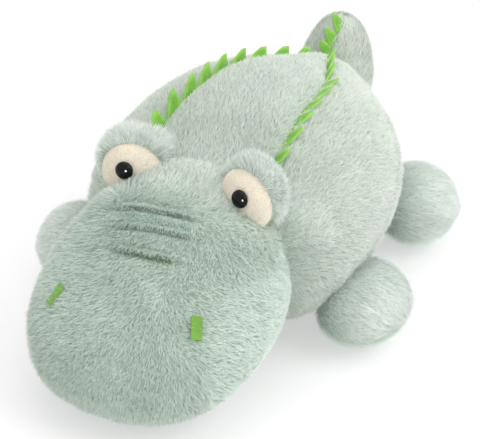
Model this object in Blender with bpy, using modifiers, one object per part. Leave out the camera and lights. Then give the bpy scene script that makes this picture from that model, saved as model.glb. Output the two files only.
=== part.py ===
"""Plush crocodile lying flat on its belly, in metres, nose along -Y, tail along +Y, +Z up.

The origin is on the surface that it lies on, under the middle of its bounding box. The mint body, head,
tail and four feet are stuffed plush forms. The eyes are stuffed half domes, each with a cream face, a
mint lid behind it, and a safety eye held by a lock washer inside. Felt spikes stand in the back seams.
"""
import math

import bmesh
import bpy
from mathutils import Matrix, Vector
from mathutils.bvhtree import BVHTree

# Clearances
GAP = 0.0003
FLAT_DEPTH = 0.0005
CUT_OVERRUN = 0.03
GROUND_SPAN = 1.0
MERGE_DISTANCE = 0.00001

ACROSS = Vector((1, 0, 0))
UPWARD = Vector((0, 0, 1))

# Body: a fat loaf, widest a third of the way back
BODY_FRONT_Y = -0.088
BODY_LENGTH = 0.252
BODY_HALF_WIDTH = 0.112
BODY_HEIGHT = 0.168
BODY_STATION_SHARES = (0, 0.07, 0.25, 0.48, 0.72, 0.92, 1)
BODY_WIDTH_SHARES = (0, 0.84, 1.03, 1, 0.93, 0.60, 0)
BODY_TOP_SHARES = (0.50, 0.68, 0.94, 1, 0.96, 0.82, 0.56)
BODY_BOTTOM_SHARES = (0.50, 0.09, 0, 0, 0, 0.09, 0.56)

# Head: one broad muzzle, rising to the crown that carries the eyes; its rear end lies inside the body's front
HEAD_LENGTH = 0.1945
HEAD_HALF_WIDTH = 0.0905
HEAD_HEIGHT_SHARE = 0.851
HEAD_HEIGHT = HEAD_HEIGHT_SHARE * BODY_HEIGHT
HEAD_OVERLAP = 0.0675
NOSE_Y = BODY_FRONT_Y + HEAD_OVERLAP - HEAD_LENGTH
HEAD_STATION_SHARES = (0, 0.05, 0.20, 0.42, 0.66, 0.86, 1)
HEAD_WIDTH_SHARES = (0, 0.57, 0.91, 1.02, 1, 0.82, 0)
HEAD_TOP_SHARES = (0.32, 0.47, 0.65, 0.84, 0.97, 0.99, 0.75)
HEAD_BOTTOM_SHARES = (0.32, 0.09, 0.01, 0, 0, 0.06, 0.75)

# Tail: a stubby lobe that leaves the rear end and curls up
TAIL_ROOT_SHARES = (0.897, 0.405)
TAIL_ROOT_Y = BODY_FRONT_Y + TAIL_ROOT_SHARES[0] * BODY_LENGTH
TAIL_ROOT_Z = TAIL_ROOT_SHARES[1] * BODY_HEIGHT
TAIL_LENGTH = 0.112
TAIL_RADIUS = 0.0285
TAIL_ROOT_PITCH = math.radians(25)
TAIL_TIP_PITCH = math.radians(82)
TAIL_STATION_SHARES = (0, 0.13, 0.40, 0.67, 0.91, 1)
TAIL_RADIUS_SHARES = (0, 1.02, 1.14, 0.98, 0.56, 0)
TAIL_HINGE_SHARE = 0.42
TAIL_CLEAR_WAG = math.radians(22)
TAIL_WAG_SHARES = (1, -1, 0.5, -0.5, 0)

# Feet: round puffs, sewn to the flanks by a narrow root
FOOT_LENGTH = 0.075
FOOT_HALF_WIDTH = 0.0415
FOOT_HALF_THICKNESS = 0.031
FOOT_ROOT_REACH = 0.006
FOOT_HINGE_Z = 0.026
FOOT_STATION_SHARES = (0, 0.08, 0.30, 0.58, 0.86, 1)
FOOT_WIDTH_SHARES = (0, 0.50, 0.93, 1.02, 0.76, 0)
FOOT_THICKNESS_SHARES = (0, 0.46, 0.92, 1.02, 0.74, 0)
FRONT_LEFT_FOOT_SHARES = (0.759, 0.317)
FRONT_LEFT_FOOT_YAW = math.radians(-4)
FRONT_RIGHT_FOOT_SHARES = (-0.777, 0.238)
FRONT_RIGHT_FOOT_YAW = math.radians(-31)
REAR_LEFT_FOOT_SHARES = (0.598, 0.845)
REAR_RIGHT_FOOT_SHARES = (-0.598, 0.845)
REAR_FOOT_YAW = math.radians(20)
FOOT_CLEAR_SWING = math.radians(22)

# Eyes: half domes on the crown, each leaning outwards and looking a little inwards
LEFT_EYE_X_SHARE = 0.492
LEFT_EYE_SETBACK = 0.0244
LEFT_EYE_DROP = 0.0072
RIGHT_EYE_X_SHARE = 0.601
RIGHT_EYE_SETBACK = 0.0261
RIGHT_EYE_DROP = 0.0132
EYE_PITCH = math.radians(-6)
EYE_ROLL = math.radians(20)
EYE_YAW = math.radians(-17)
LID_HALF_WIDTH = 0.0253
LID_HALF_DEPTH = 0.012
LID_HALF_HEIGHT = 0.0258
LID_INWARD = 0.0016
LID_BACK = 0.0075
LID_UP = 0.0042
CREAM_HALF_WIDTH = 0.0229
CREAM_HALF_DEPTH = 0.010
CREAM_HALF_HEIGHT = 0.0222

# Safety eyes and their lock washers
PUPIL_RADIUS = 0.007
PUPIL_DOME = 0.0045
PUPIL_RIM = 0.001
PUPIL_ACROSS = 0.001
PUPIL_UP = 0.0058
SHANK_RADIUS = 0.00225
SHANK_LENGTH = 0.012
WASHER_RADIUS = 0.005
WASHER_THICKNESS = 0.0015
WASHER_DEPTH = 0.005

# Felt: nostril tabs and back spikes
FELT_THICKNESS = 0.002
LEFT_NOSTRIL_SHARES = (0.663, 0.267)
RIGHT_NOSTRIL_SHARES = (-0.624, 0.226)
NOSTRIL_SLANT = Vector((0.0025, -0.005, 0))
NOSTRIL_LENGTH = 0.017
NOSTRIL_WIDTH = 0.006
NOSTRIL_TONGUE = 0.004
NOSTRIL_LIFT = math.radians(10)
SPIKE_HEIGHT = 0.011
SPIKE_REAR_SHARE = 0.6
SPIKE_VALLEY = 0.0006
TAPE_DEPTH = 0.004
SEAM_END_SHARES = (0.214, 0.944)
LEFT_SEAM_SPAN_SHARE = 0.41
RIGHT_SEAM_SPAN_SHARE = 0.462
SEAM_SPAN_SHARES = (1, 0.99, 0.92, 0.87, 0.74, 0.46, 0.12)
SEAM_TEETH = 9
LEFT_SPIKE_LEANS = (math.radians(55), math.radians(10))
RIGHT_SPIKE_LEANS = (math.radians(25), math.radians(5))
TAIL_TEETH = 3
TAIL_SPIKE_START_SHARE = 0.62
TAIL_SPIKE_END_SHARE = 0.985

# Embroidery thread in the third wrinkle of the muzzle
THREAD_RADIUS = 0.0007
THREAD_HALF_LENGTH = 0.017
THREAD_Y_SHARE = 0.386
THREAD_Y = NOSE_Y + THREAD_Y_SHARE * HEAD_LENGTH
THREAD_X = 0.0015
THREAD_SKEW = -0.002
THREAD_LIFT = 0.0004
THREAD_STITCHES = 8

# Section shape and smoothing of the stuffed forms
UPPER_POWER = 2.3
LOWER_POWER = 2.0
RING_POINTS = 10
SMOOTH_LEVELS = 2
DRAW_IN_SHARE = 0.936
POLE_DRAW_SHARE = 0.35

MINT = "#C6D2C6"
MINT_TAIL = "#CBD5CC"
MINT_LID = "#D3DAD0"
CREAM = "#E6E0C9"
FELT_GREEN = "#93BC56"
NOSTRIL_GREEN = "#88AD5D"
THREAD_GREEN = "#4E7F35"
EYE_BLACK = "#171F17"
WASHER_WHITE = "#E8E8E4"


def clear_scene():
    for item in list(bpy.data.objects):
        bpy.data.objects.remove(item, do_unlink=True)


def new_collection(name):
    collection = bpy.data.collections.new(name)
    bpy.context.scene.collection.children.link(collection)
    return collection


def linear(hex_colour):
    values = [int(hex_colour[i:i + 2], 16) / 255 for i in (1, 3, 5)]
    return [v / 12.92 if v <= 0.04045 else ((v + 0.055) / 1.055) ** 2.4 for v in values] + [1]


def new_material(name, hex_colour, roughness, metallic=0.0):
    material = bpy.data.materials.new(name)
    material.use_nodes = True
    shader = material.node_tree.nodes["Principled BSDF"]
    shader.inputs["Base Color"].default_value = linear(hex_colour)
    shader.inputs["Roughness"].default_value = roughness
    shader.inputs["Metallic"].default_value = metallic
    return material


def add_object(name, mesh, collection, material=None):
    item = bpy.data.objects.new(name, mesh)
    collection.objects.link(item)
    if material:
        mesh.materials.clear()
        mesh.materials.append(material)
    return item


def as_cutter(item):
    item.hide_render = True
    item.display_type = "WIRE"
    return item


def mesh_from(bm, name, smooth=True):
    bmesh.ops.recalc_face_normals(bm, faces=bm.faces)
    mesh = bpy.data.meshes.new(name)
    bm.to_mesh(mesh)
    bm.free()
    if smooth:
        mesh.shade_smooth()
    return mesh


def smooth_table(values, share):
    """Value at a share of the way along an evenly spaced table, on a smooth curve through its entries."""
    spans = len(values) - 1
    at = min(max(share, 0), 1) * spans
    i = min(int(at), spans - 1)
    t = at - i
    before = values[i - 1] if i > 0 else 2 * values[0] - values[1]
    after = values[i + 2] if i + 2 <= spans else 2 * values[-1] - values[-2]
    a, b = values[i], values[i + 1]
    return 0.5 * (2 * a + (b - before) * t + (2 * before - 5 * a + 4 * b - after) * t * t
                  + (3 * a - before - 3 * b + after) * t ** 3)


def section(centre, side, up, half_width, above, below):
    """Ring of points round a plump section, swollen to allow for what the smoothing draws in."""
    points = []
    for k in range(RING_POINTS):
        angle = 2 * math.pi * k / RING_POINTS
        c, s = math.cos(angle), math.sin(angle)
        power = UPPER_POWER if s > 0 else LOWER_POWER
        x = math.copysign(abs(c) ** (2 / power), c) * half_width
        z = math.copysign(abs(s) ** (2 / power), s) * (above if s > 0 else below)
        points.append(centre + (side * x + up * z) / DRAW_IN_SHARE)
    return points


def cage_mesh(name, rings):
    """Closed cage from rings of points, whose first and last entries are single points."""
    bm = bmesh.new()
    loops = [[bm.verts.new(p) for p in ring] for ring in rings]
    for lower, upper in zip(loops, loops[1:]):
        for k in range(RING_POINTS):
            n = (k + 1) % RING_POINTS
            corners = [ring[i % len(ring)] for ring, i in ((lower, k), (lower, n), (upper, n), (upper, k))]
            bm.faces.new(list(dict.fromkeys(corners)))
    return mesh_from(bm, name)


def smooth_form(item, levels=SMOOTH_LEVELS):
    modifier = item.modifiers.new("smooth", "SUBSURF")
    modifier.levels = levels
    modifier.render_levels = levels
    return item


def cut(item, cutter, solver="EXACT"):
    modifier = item.modifiers.new("cut by " + cutter.name, "BOOLEAN")
    modifier.operation = "DIFFERENCE"
    modifier.solver = solver
    modifier.object = cutter


def pole(tip, neighbour):
    """End point of a cage, pushed out so that the smoothed end reaches the tip."""
    return [tip + (tip - neighbour) * POLE_DRAW_SHARE]


def lying_rings(front_y, length, half_width, height, tables, grow):
    """Rings of a form that lies along Y with its underside on the ground, grown by a clearance."""
    stations, widths, tops, bottoms = tables
    rings = []
    for station, width, top, bottom in zip(stations, widths, tops, bottoms):
        y = front_y - grow + (length + 2 * grow) * station
        low = bottom * height - FLAT_DEPTH
        high = top * height
        centre = Vector((0, y, (low + high) / 2))
        if width == 0:
            rings.append(centre)
            continue
        half = (high - low) / 2 + grow
        rings.append(section(centre, ACROSS, UPWARD, width * half_width + grow, half, half))
    middle = [sum(ring, Vector()) / RING_POINTS for ring in (rings[1], rings[-2])]
    along = [Vector((0, middle[0].y, rings[0].z)), Vector((0, middle[1].y, rings[-1].z))]
    rings[0] = pole(rings[0], along[0])
    rings[-1] = pole(rings[-1], along[1])
    return rings


def lying_form(name, collection, material, dims, grow=0.0):
    return smooth_form(add_object(name, cage_mesh(name, lying_rings(*dims, grow)), collection, material))


def tail_path(share):
    """Centre of the tail and its pitch at a share of its length."""
    steps = 24
    point = Vector((0, TAIL_ROOT_Y, TAIL_ROOT_Z))
    for k in range(steps):
        pitch = TAIL_ROOT_PITCH + (TAIL_TIP_PITCH - TAIL_ROOT_PITCH) * share * (k + 0.5) / steps
        point += Vector((0, math.cos(pitch), math.sin(pitch))) * TAIL_LENGTH * share / steps
    return point, TAIL_ROOT_PITCH + (TAIL_TIP_PITCH - TAIL_ROOT_PITCH) * share


def tail_up(pitch):
    return Vector((0, -math.sin(pitch), math.cos(pitch)))


def tail_form(collection, material):
    rings = []
    for station, radius in zip(TAIL_STATION_SHARES, TAIL_RADIUS_SHARES):
        centre, pitch = tail_path(station)
        size = radius * TAIL_RADIUS
        rings.append(centre if radius == 0 else section(centre, ACROSS, tail_up(pitch), size, size, size))
    rings[0] = pole(rings[0], tail_path(TAIL_STATION_SHARES[1])[0])
    rings[-1] = pole(rings[-1], tail_path(TAIL_STATION_SHARES[-2])[0])
    return smooth_form(add_object("tail", cage_mesh("tail", rings), collection, material), 1)


def foot_mesh():
    """Foot along its own +X, with its hinge at the origin."""
    drop = Vector((0, 0, FOOT_HALF_THICKNESS + GAP - FOOT_HINGE_Z))
    rings = []
    for station, width, thickness in zip(FOOT_STATION_SHARES, FOOT_WIDTH_SHARES, FOOT_THICKNESS_SHARES):
        centre = Vector((FOOT_LENGTH * station - FOOT_ROOT_REACH, 0, 0)) + drop
        half = thickness * FOOT_HALF_THICKNESS
        if width == 0:
            rings.append(centre)
            continue
        rings.append(section(centre, Vector((0, 1, 0)), UPWARD, width * FOOT_HALF_WIDTH, half, half))
    inner = Vector((FOOT_LENGTH * FOOT_STATION_SHARES[1] - FOOT_ROOT_REACH, 0, 0)) + drop
    outer = Vector((FOOT_LENGTH * FOOT_STATION_SHARES[-2] - FOOT_ROOT_REACH, 0, 0)) + drop
    rings[0] = pole(rings[0], inner)
    rings[-1] = pole(rings[-1], outer)
    return cage_mesh("foot", rings)


def turned_about(point, axis, angle):
    return Matrix.Translation(point) @ Matrix.Rotation(angle, 4, axis) @ Matrix.Translation(-point)


def sweep_cut(item, space, collection, point, axis, swing, shares=(1, -1, 0)):
    """Cut an item back from all that another form takes up while the item turns both ways about its hinge.

    The turned copies nearly touch along their edges, where the exact solver can lose the whole item.
    """
    for k, angle in enumerate(swing * share for share in shares):
        copy = as_cutter(smooth_form(add_object(f"{item.name}_sweep_{k}", space.data, collection)))
        copy.matrix_world = turned_about(point, axis, -angle)
        cut(item, copy, "MANIFOLD")


def ball(name, radii, collection, material=None, grow=0.0):
    bm = bmesh.new()
    bmesh.ops.create_uvsphere(bm, u_segments=16, v_segments=10, radius=1)
    bmesh.ops.scale(bm, vec=[r + grow for r in radii], verts=bm.verts)
    return add_object(name, mesh_from(bm, name), collection, material)


def turned_piece(name, profile, collection, material=None, steps=16):
    """Solid of revolution about Z from a profile listed down its outer side, top to bottom."""
    bm = bmesh.new()
    verts = [bm.verts.new((x, 0, z)) for x, z in profile]
    for a, b in zip(verts, verts[1:]):
        bm.edges.new((a, b))
    mesh = bpy.data.meshes.new(name)
    bm.to_mesh(mesh)
    bm.free()
    item = add_object(name, mesh, collection, material)
    screw = item.modifiers.new("turn", "SCREW")
    screw.steps = steps
    screw.render_steps = steps
    screw.use_merge_vertices = True
    screw.merge_threshold = MERGE_DISTANCE
    screw.use_smooth_shade = False
    return item


def cream_surface(across, up):
    """Point and outward normal on the cream face, at a place across and up its front."""
    x, z = across / CREAM_HALF_WIDTH, up / CREAM_HALF_HEIGHT
    y = -math.sqrt(1 - x * x - z * z)
    point = Vector((across, y * CREAM_HALF_DEPTH, up))
    normal = Vector((x / CREAM_HALF_WIDTH, y / CREAM_HALF_DEPTH, z / CREAM_HALF_HEIGHT)).normalized()
    return point, normal


def eye_profile(grow=0.0):
    """Dome, rim and shank of a safety eye, from its top down; the rim's underside is at zero."""
    radius = PUPIL_RADIUS + grow
    arc = [(radius * math.sin(a), PUPIL_RIM + (PUPIL_DOME + grow) * math.cos(a))
           for a in (math.pi / 2 * k / 6 for k in range(7))]
    shank = SHANK_RADIUS + grow
    return arc + [(radius, -grow), (shank, -grow), (shank, -SHANK_LENGTH - grow), (0, -SHANK_LENGTH - grow)]


def washer_profile(grow=0.0):
    """Lock washer round the shank, or with a clearance the solid pocket that it lies in."""
    outer = WASHER_RADIUS + grow
    top = grow
    bottom = -WASHER_THICKNESS - grow
    if grow:
        return [(0, top), (outer, top), (outer, bottom), (0, bottom)]
    inner = SHANK_RADIUS + GAP
    return [(inner, top), (outer, top), (outer, bottom), (inner, bottom), (inner, top)]


def build_eye(side, label, place, parts, cutters, materials, spaces):
    """Lid, cream face, safety eye and lock washer, all parented to one frame on the crown."""
    plush, cream, black, white = materials
    frame = bpy.data.objects.new(f"eye_frame_{label}", None)
    parts.objects.link(frame)
    frame.location = place
    frame.rotation_euler = (EYE_PITCH, side * EYE_ROLL, side * EYE_YAW)

    def put(item, location=(0, 0, 0), turn=None):
        item.parent = frame
        item.location = location
        if turn:
            item.rotation_euler = turn.to_euler()
        return item

    lid = ball(f"eyelid_{label}", (LID_HALF_WIDTH, LID_HALF_DEPTH, LID_HALF_HEIGHT), parts, plush)
    put(lid, (-side * LID_INWARD, LID_BACK, LID_UP))
    radii = (CREAM_HALF_WIDTH, CREAM_HALF_DEPTH, CREAM_HALF_HEIGHT)
    face = put(ball(f"eye_face_{label}", radii, parts, cream))
    face_space = put(as_cutter(ball(f"eye_face_space_{label}", radii, cutters, grow=GAP)))
    point, normal = cream_surface(side * PUPIL_ACROSS, PUPIL_UP)
    turn = normal.to_track_quat("Z", "Y")
    seat = point + normal * GAP
    put(turned_piece(f"safety_eye_{label}", eye_profile(), parts, black), seat, turn)
    eye_space = put(as_cutter(turned_piece(f"eye_space_{label}", eye_profile(GAP), cutters)), seat, turn)
    under = seat - normal * WASHER_DEPTH
    put(turned_piece(f"lock_washer_{label}", washer_profile(), parts, white), under, turn)
    pocket = put(as_cutter(turned_piece(f"washer_space_{label}", washer_profile(GAP), cutters)), under, turn)
    # At some heights of the crown the exact solver loses the lid or the face
    for space in spaces:
        cut(lid, space, "MANIFOLD")
        cut(face, space, "MANIFOLD")
    cut(lid, face_space)
    cut(face, eye_space)
    cut(face, pocket)
    return eye_space


def surface_finder(item):
    """Function giving the point and normal where a ray first meets an item's finished surface."""
    bpy.context.view_layer.update()
    tree = BVHTree.FromObject(item, bpy.context.evaluated_depsgraph_get())

    def find(origin, direction):
        point, normal, _, _ = tree.ray_cast(origin, direction)
        return point, normal
    return find


def prism(name, frames, outline, collection, material=None):
    """Closed strip through a list of frames; the outline gives each frame's ring of (across, out) places."""
    bm = bmesh.new()
    loops = []
    for k, (point, across, out) in enumerate(frames):
        loops.append([bm.verts.new(point + across * a + out * o) for a, o in outline(k)])
    count = len(loops[0])
    for first, second in zip(loops, loops[1:]):
        for k in range(count):
            n = (k + 1) % count
            bm.faces.new((first[k], first[n], second[n], second[k]))
    bm.faces.new(loops[0])
    bm.faces.new(loops[-1])
    bmesh.ops.triangulate(bm, faces=bm.faces, ngon_method="EAR_CLIP")
    return add_object(name, mesh_from(bm, name, smooth=False), collection, material)


def spike_strip(name, frames, host, parts, cutters, felt):
    """Zigzag felt strip, its teeth out of the seam and its tape in a slot that it is sewn into."""
    half = FELT_THICKNESS / 2

    def blade(k):
        tip = SPIKE_HEIGHT * (1 - (1 - SPIKE_REAR_SHARE) * k / (len(frames) - 1))
        top = tip if k % 2 else SPIKE_VALLEY
        return [(-half, -TAPE_DEPTH), (half, -TAPE_DEPTH), (half, top), (-half, top)]

    def slot(_):
        wide = half + GAP
        deep = TAPE_DEPTH + GAP
        return [(-wide, -deep), (wide, -deep), (wide, SPIKE_HEIGHT), (-wide, SPIKE_HEIGHT)]

    prism(name, frames, blade, parts, felt)
    ends = [(frames[1][0] - frames[0][0]).normalized(), (frames[-1][0] - frames[-2][0]).normalized()]
    longer = list(frames)
    longer[0] = (frames[0][0] - ends[0] * GAP, *frames[0][1:])
    longer[-1] = (frames[-1][0] + ends[1] * GAP, *frames[-1][1:])
    cut(host, as_cutter(prism(name + "_slot", longer, slot, cutters)))


def strip_frames(places, side, leans):
    """Frames for a strip from surface points and normals: point, direction across the felt, direction out."""
    frames = []
    for k, (point, _) in enumerate(places):
        lean = leans[0] + (leans[1] - leans[0]) * k / (len(places) - 1)
        near = places[max(k - 1, 0):k + 2]
        normal = sum((n for _, n in near), Vector()).normalized()
        along = (near[-1][0] - near[0][0]).normalized()
        outward = along.cross(normal).normalized() * side
        out = (normal * math.cos(lean) + outward * math.sin(lean)).normalized()
        frames.append((point, along.cross(out).normalized(), out))
    return frames


def back_places(find, side, span_share):
    """Points of one back seam, from behind the eye to the tail."""
    places = []
    half_span = span_share * BODY_HALF_WIDTH
    start, end = SEAM_END_SHARES
    for k in range(2 * SEAM_TEETH + 1):
        share = k / (2 * SEAM_TEETH)
        x = side * half_span * smooth_table(SEAM_SPAN_SHARES, share)
        y = BODY_FRONT_Y + (start + (end - start) * share) * BODY_LENGTH
        places.append(find(Vector((x, y, BODY_HEIGHT + CUT_OVERRUN)), -UPWARD))
    return places


def tail_places(find):
    """Points of the seam along the tail's upper side."""
    places = []
    start, end = TAIL_SPIKE_START_SHARE, TAIL_SPIKE_END_SHARE
    for k in range(2 * TAIL_TEETH + 1):
        share = start + (end - start) * k / (2 * TAIL_TEETH)
        centre, pitch = tail_path(share)
        places.append(find(centre + tail_up(pitch) * (TAIL_RADIUS + CUT_OVERRUN), -tail_up(pitch)))
    return places


def build_nostril(side, label, shares, find, head, parts, cutters, felt):
    """Felt tab that lifts off the muzzle, its tongue sewn into the panel seam on its outer side."""
    x = shares[0] * HEAD_HALF_WIDTH
    y = NOSE_Y + shares[1] * HEAD_LENGTH
    above = Vector((x, y, HEAD_HEIGHT + CUT_OVERRUN))
    slant = NOSTRIL_SLANT * Vector((side, 1, 1))
    point, normal = find(above, -UPWARD)
    along = (find(above + slant, -UPWARD)[0] - find(above - slant, -UPWARD)[0]).normalized()
    inward = normal.cross(along).normalized()
    if inward.x * side > 0:
        inward = -inward
    half = FELT_THICKNESS / 2
    reach = Vector((math.cos(NOSTRIL_LIFT), math.sin(NOSTRIL_LIFT)))
    thick = Vector((-reach.y, reach.x)) * FELT_THICKNESS
    seat = Vector((half, GAP))
    free = seat + reach * NOSTRIL_WIDTH
    back = free + thick - reach * ((free + thick).x + half) / reach.x
    tab = [(-half, -NOSTRIL_TONGUE), (half, -NOSTRIL_TONGUE), seat, free, free + thick, back]
    ends = [(point + along * (NOSTRIL_LENGTH / 2 * end), inward, normal) for end in (-1, 1)]
    prism(f"nostril_tab_{label}", ends, lambda _: tab, parts, felt)
    wide = half + GAP
    deep = NOSTRIL_TONGUE + GAP
    slot = [(-wide, -deep), (wide, -deep), (wide, NOSTRIL_TONGUE), (-wide, NOSTRIL_TONGUE)]
    ends = [(point + along * ((NOSTRIL_LENGTH / 2 + GAP) * end), inward, normal) for end in (-1, 1)]
    cut(head, as_cutter(prism(f"nostril_slot_{label}", ends, lambda _: slot, cutters)))


def build_thread(find, parts, material):
    """Row of short stitches across the muzzle, as one thread that rises and dips at each stitch."""
    points = []
    count = 2 * THREAD_STITCHES
    for k in range(count + 1):
        across = 2 * k / count - 1
        y = THREAD_Y - THREAD_SKEW * across
        x = THREAD_X + THREAD_HALF_LENGTH * across
        point, normal = find(Vector((x, y, HEAD_HEIGHT + CUT_OVERRUN)), -UPWARD)
        points.append(point + normal * (GAP + THREAD_RADIUS + THREAD_LIFT * (1 + k % 2)))
    curve = bpy.data.curves.new("tuck_thread", "CURVE")
    curve.dimensions = "3D"
    curve.bevel_depth = THREAD_RADIUS
    curve.bevel_resolution = 1
    curve.use_fill_caps = True
    spline = curve.splines.new("POLY")
    spline.points.add(len(points) - 1)
    for target, point in zip(spline.points, points):
        target.co = (*point, 1)
    curve.materials.append(material)
    item = bpy.data.objects.new("tuck_thread", curve)
    parts.objects.link(item)


def ground_cutter(cutters):
    bm = bmesh.new()
    bmesh.ops.create_cube(bm, size=1)
    bmesh.ops.scale(bm, vec=(GROUND_SPAN, GROUND_SPAN, CUT_OVERRUN), verts=bm.verts)
    ground = as_cutter(add_object("ground", mesh_from(bm, "ground", smooth=False), cutters))
    ground.location.z = -CUT_OVERRUN / 2
    return ground


def build_feet(parts, cutters, plush, body_space):
    mesh = foot_mesh()
    for name, shares, turn in (
        ("front_left", FRONT_LEFT_FOOT_SHARES, FRONT_LEFT_FOOT_YAW),
        ("front_right", FRONT_RIGHT_FOOT_SHARES, math.pi - FRONT_RIGHT_FOOT_YAW),
        ("rear_left", REAR_LEFT_FOOT_SHARES, REAR_FOOT_YAW),
        ("rear_right", REAR_RIGHT_FOOT_SHARES, math.pi - REAR_FOOT_YAW),
    ):
        foot = smooth_form(add_object(f"foot_{name}", mesh, parts, plush), 1)
        x = shares[0] * BODY_HALF_WIDTH
        y = BODY_FRONT_Y + shares[1] * BODY_LENGTH
        foot.location = (x, y, FOOT_HINGE_Z)
        foot.rotation_euler.z = turn
        axis = Vector((math.sin(turn), -math.cos(turn), 0))
        sweep_cut(foot, body_space, cutters, foot.location.copy(), axis, FOOT_CLEAR_SWING)


def main():
    clear_scene()
    parts = new_collection("plush_crocodile")
    cutters = new_collection("cutters")
    plush = new_material("mint_plush", MINT, 0.9)
    tail_plush = new_material("mint_plush_tail", MINT_TAIL, 0.9)
    lid_plush = new_material("mint_plush_lid", MINT_LID, 0.9)
    cream = new_material("cream_plush", CREAM, 0.9)
    felt = new_material("green_felt", FELT_GREEN, 0.95)
    nostril_felt = new_material("nostril_felt", NOSTRIL_GREEN, 0.95)
    thread = new_material("green_thread", THREAD_GREEN, 0.6)
    black = new_material("black_gloss_plastic", EYE_BLACK, 0.1)
    white = new_material("white_plastic", WASHER_WHITE, 0.5)

    head_tables = (HEAD_STATION_SHARES, HEAD_WIDTH_SHARES, HEAD_TOP_SHARES, HEAD_BOTTOM_SHARES)
    head_dims = (NOSE_Y, HEAD_LENGTH, HEAD_HALF_WIDTH, HEAD_HEIGHT, head_tables)
    body_tables = (BODY_STATION_SHARES, BODY_WIDTH_SHARES, BODY_TOP_SHARES, BODY_BOTTOM_SHARES)
    body_dims = (BODY_FRONT_Y, BODY_LENGTH, BODY_HALF_WIDTH, BODY_HEIGHT, body_tables)
    body = lying_form("body", parts, plush, body_dims)
    body_space = as_cutter(lying_form("body_space", cutters, None, body_dims, GAP))
    head = lying_form("head", parts, plush, head_dims)
    head_space = as_cutter(lying_form("head_space", cutters, None, head_dims, GAP))
    ground = ground_cutter(cutters)
    cut(body, ground)
    cut(head, ground)
    cut(head, body_space)
    tail = tail_form(parts, tail_plush)

    find_back, find_head, find_tail = surface_finder(body), surface_finder(head), surface_finder(tail)
    for side, label, span_share, leans in ((1, "left", LEFT_SEAM_SPAN_SHARE, LEFT_SPIKE_LEANS),
                                           (-1, "right", RIGHT_SEAM_SPAN_SHARE, RIGHT_SPIKE_LEANS)):
        frames = strip_frames(back_places(find_back, side, span_share), side, leans)
        spike_strip(f"back_spikes_{label}", frames, body, parts, cutters, felt)
    spike_strip("tail_spikes", strip_frames(tail_places(find_tail), 1, (0, 0)), tail, parts, cutters, felt)
    for side, label, shares in ((1, "left", LEFT_NOSTRIL_SHARES), (-1, "right", RIGHT_NOSTRIL_SHARES)):
        build_nostril(side, label, shares, find_head, head, parts, cutters, nostril_felt)
    build_thread(find_head, parts, thread)
    materials = (lid_plush, cream, black, white)
    for side, label, share, setback, drop in (
        (1, "left", LEFT_EYE_X_SHARE, LEFT_EYE_SETBACK, LEFT_EYE_DROP),
        (-1, "right", RIGHT_EYE_X_SHARE, RIGHT_EYE_SETBACK, RIGHT_EYE_DROP),
    ):
        place = Vector((side * share * HEAD_HALF_WIDTH, BODY_FRONT_Y + setback, HEAD_HEIGHT - drop))
        cut(head, build_eye(side, label, place, parts, cutters, materials, (body_space, head_space)))

    hinge, pitch = tail_path(TAIL_HINGE_SHARE)
    sweep_cut(tail, body_space, cutters, hinge, tail_up(pitch), TAIL_CLEAR_WAG, TAIL_WAG_SHARES)
    build_feet(parts, cutters, plush, body_space)
    bpy.context.view_layer.update()


main()
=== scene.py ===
import math

import bmesh
import bpy
import numpy as np
from mathutils import Matrix, Vector
from mathutils.bvhtree import BVHTree


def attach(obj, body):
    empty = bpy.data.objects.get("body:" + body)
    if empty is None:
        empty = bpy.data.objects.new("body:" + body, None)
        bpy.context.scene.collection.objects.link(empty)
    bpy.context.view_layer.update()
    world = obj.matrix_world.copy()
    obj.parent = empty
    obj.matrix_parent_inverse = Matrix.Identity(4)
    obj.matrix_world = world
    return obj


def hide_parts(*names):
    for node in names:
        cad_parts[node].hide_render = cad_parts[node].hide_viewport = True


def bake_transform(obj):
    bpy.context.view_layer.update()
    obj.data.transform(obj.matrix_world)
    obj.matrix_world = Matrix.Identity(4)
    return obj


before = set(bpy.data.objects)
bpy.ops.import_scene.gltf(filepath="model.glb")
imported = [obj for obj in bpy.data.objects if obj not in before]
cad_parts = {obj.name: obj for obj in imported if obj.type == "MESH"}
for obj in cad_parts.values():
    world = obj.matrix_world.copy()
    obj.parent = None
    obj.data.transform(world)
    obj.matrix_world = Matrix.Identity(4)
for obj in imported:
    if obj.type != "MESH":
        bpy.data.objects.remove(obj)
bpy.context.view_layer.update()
# Sizes are in metres, lamp powers in watts, and colours are sRGB hex values


# Camera and room
# The toy lies on a white table against white paper. The camera looks down on the nose from the
# animal's left, through a long lens. A large soft lamp hangs above and the paper throws light back.
VIEW_TARGET = Vector((0, 0.009, 0.060))
VIEW_AZIMUTH = math.radians(28)
VIEW_ELEVATION = math.radians(34)
VIEW_DISTANCE = 1.450
VIEW_LENS = 136.9
VIEW_SENSOR = 36
VIEW_NEAR = 0.1
FLOOR_SPAN = 8.0
FLOOR_DROP = 0.0006
PAPER_WHITE = "#FCFCFC"
PAPER_ROUGHNESS = 0.9
# How much of the white that the eye sees of the floor is plain white, without light or shadow
PAPER_GLOW = 0.5
ROOM_STRENGTH = 0.86
KEY_PLACE = (1.50, 0.22, 1.50)
KEY_SIZE = 1.5
KEY_POWER = 15.5
TOP_LAMP_PLACE = (-0.10, 0.35, 2.40)
TOP_LAMP_SIZE = 2.2
TOP_LAMP_POWER = 13.0
EYE_LAMP_PLACE = (0.52, -1.38, 0.27)
EYE_LAMP_SIZE = 0.44
EYE_LAMP_POWER = 38.0


def linear(hex_colour):
    """Linear colour with alpha from an sRGB hex value."""
    values = [int(hex_colour[i:i + 2], 16) / 255 for i in (1, 3, 5)]
    return [v / 12.92 if v <= 0.04045 else ((v + 0.055) / 1.055) ** 2.4 for v in values] + [1]


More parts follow.
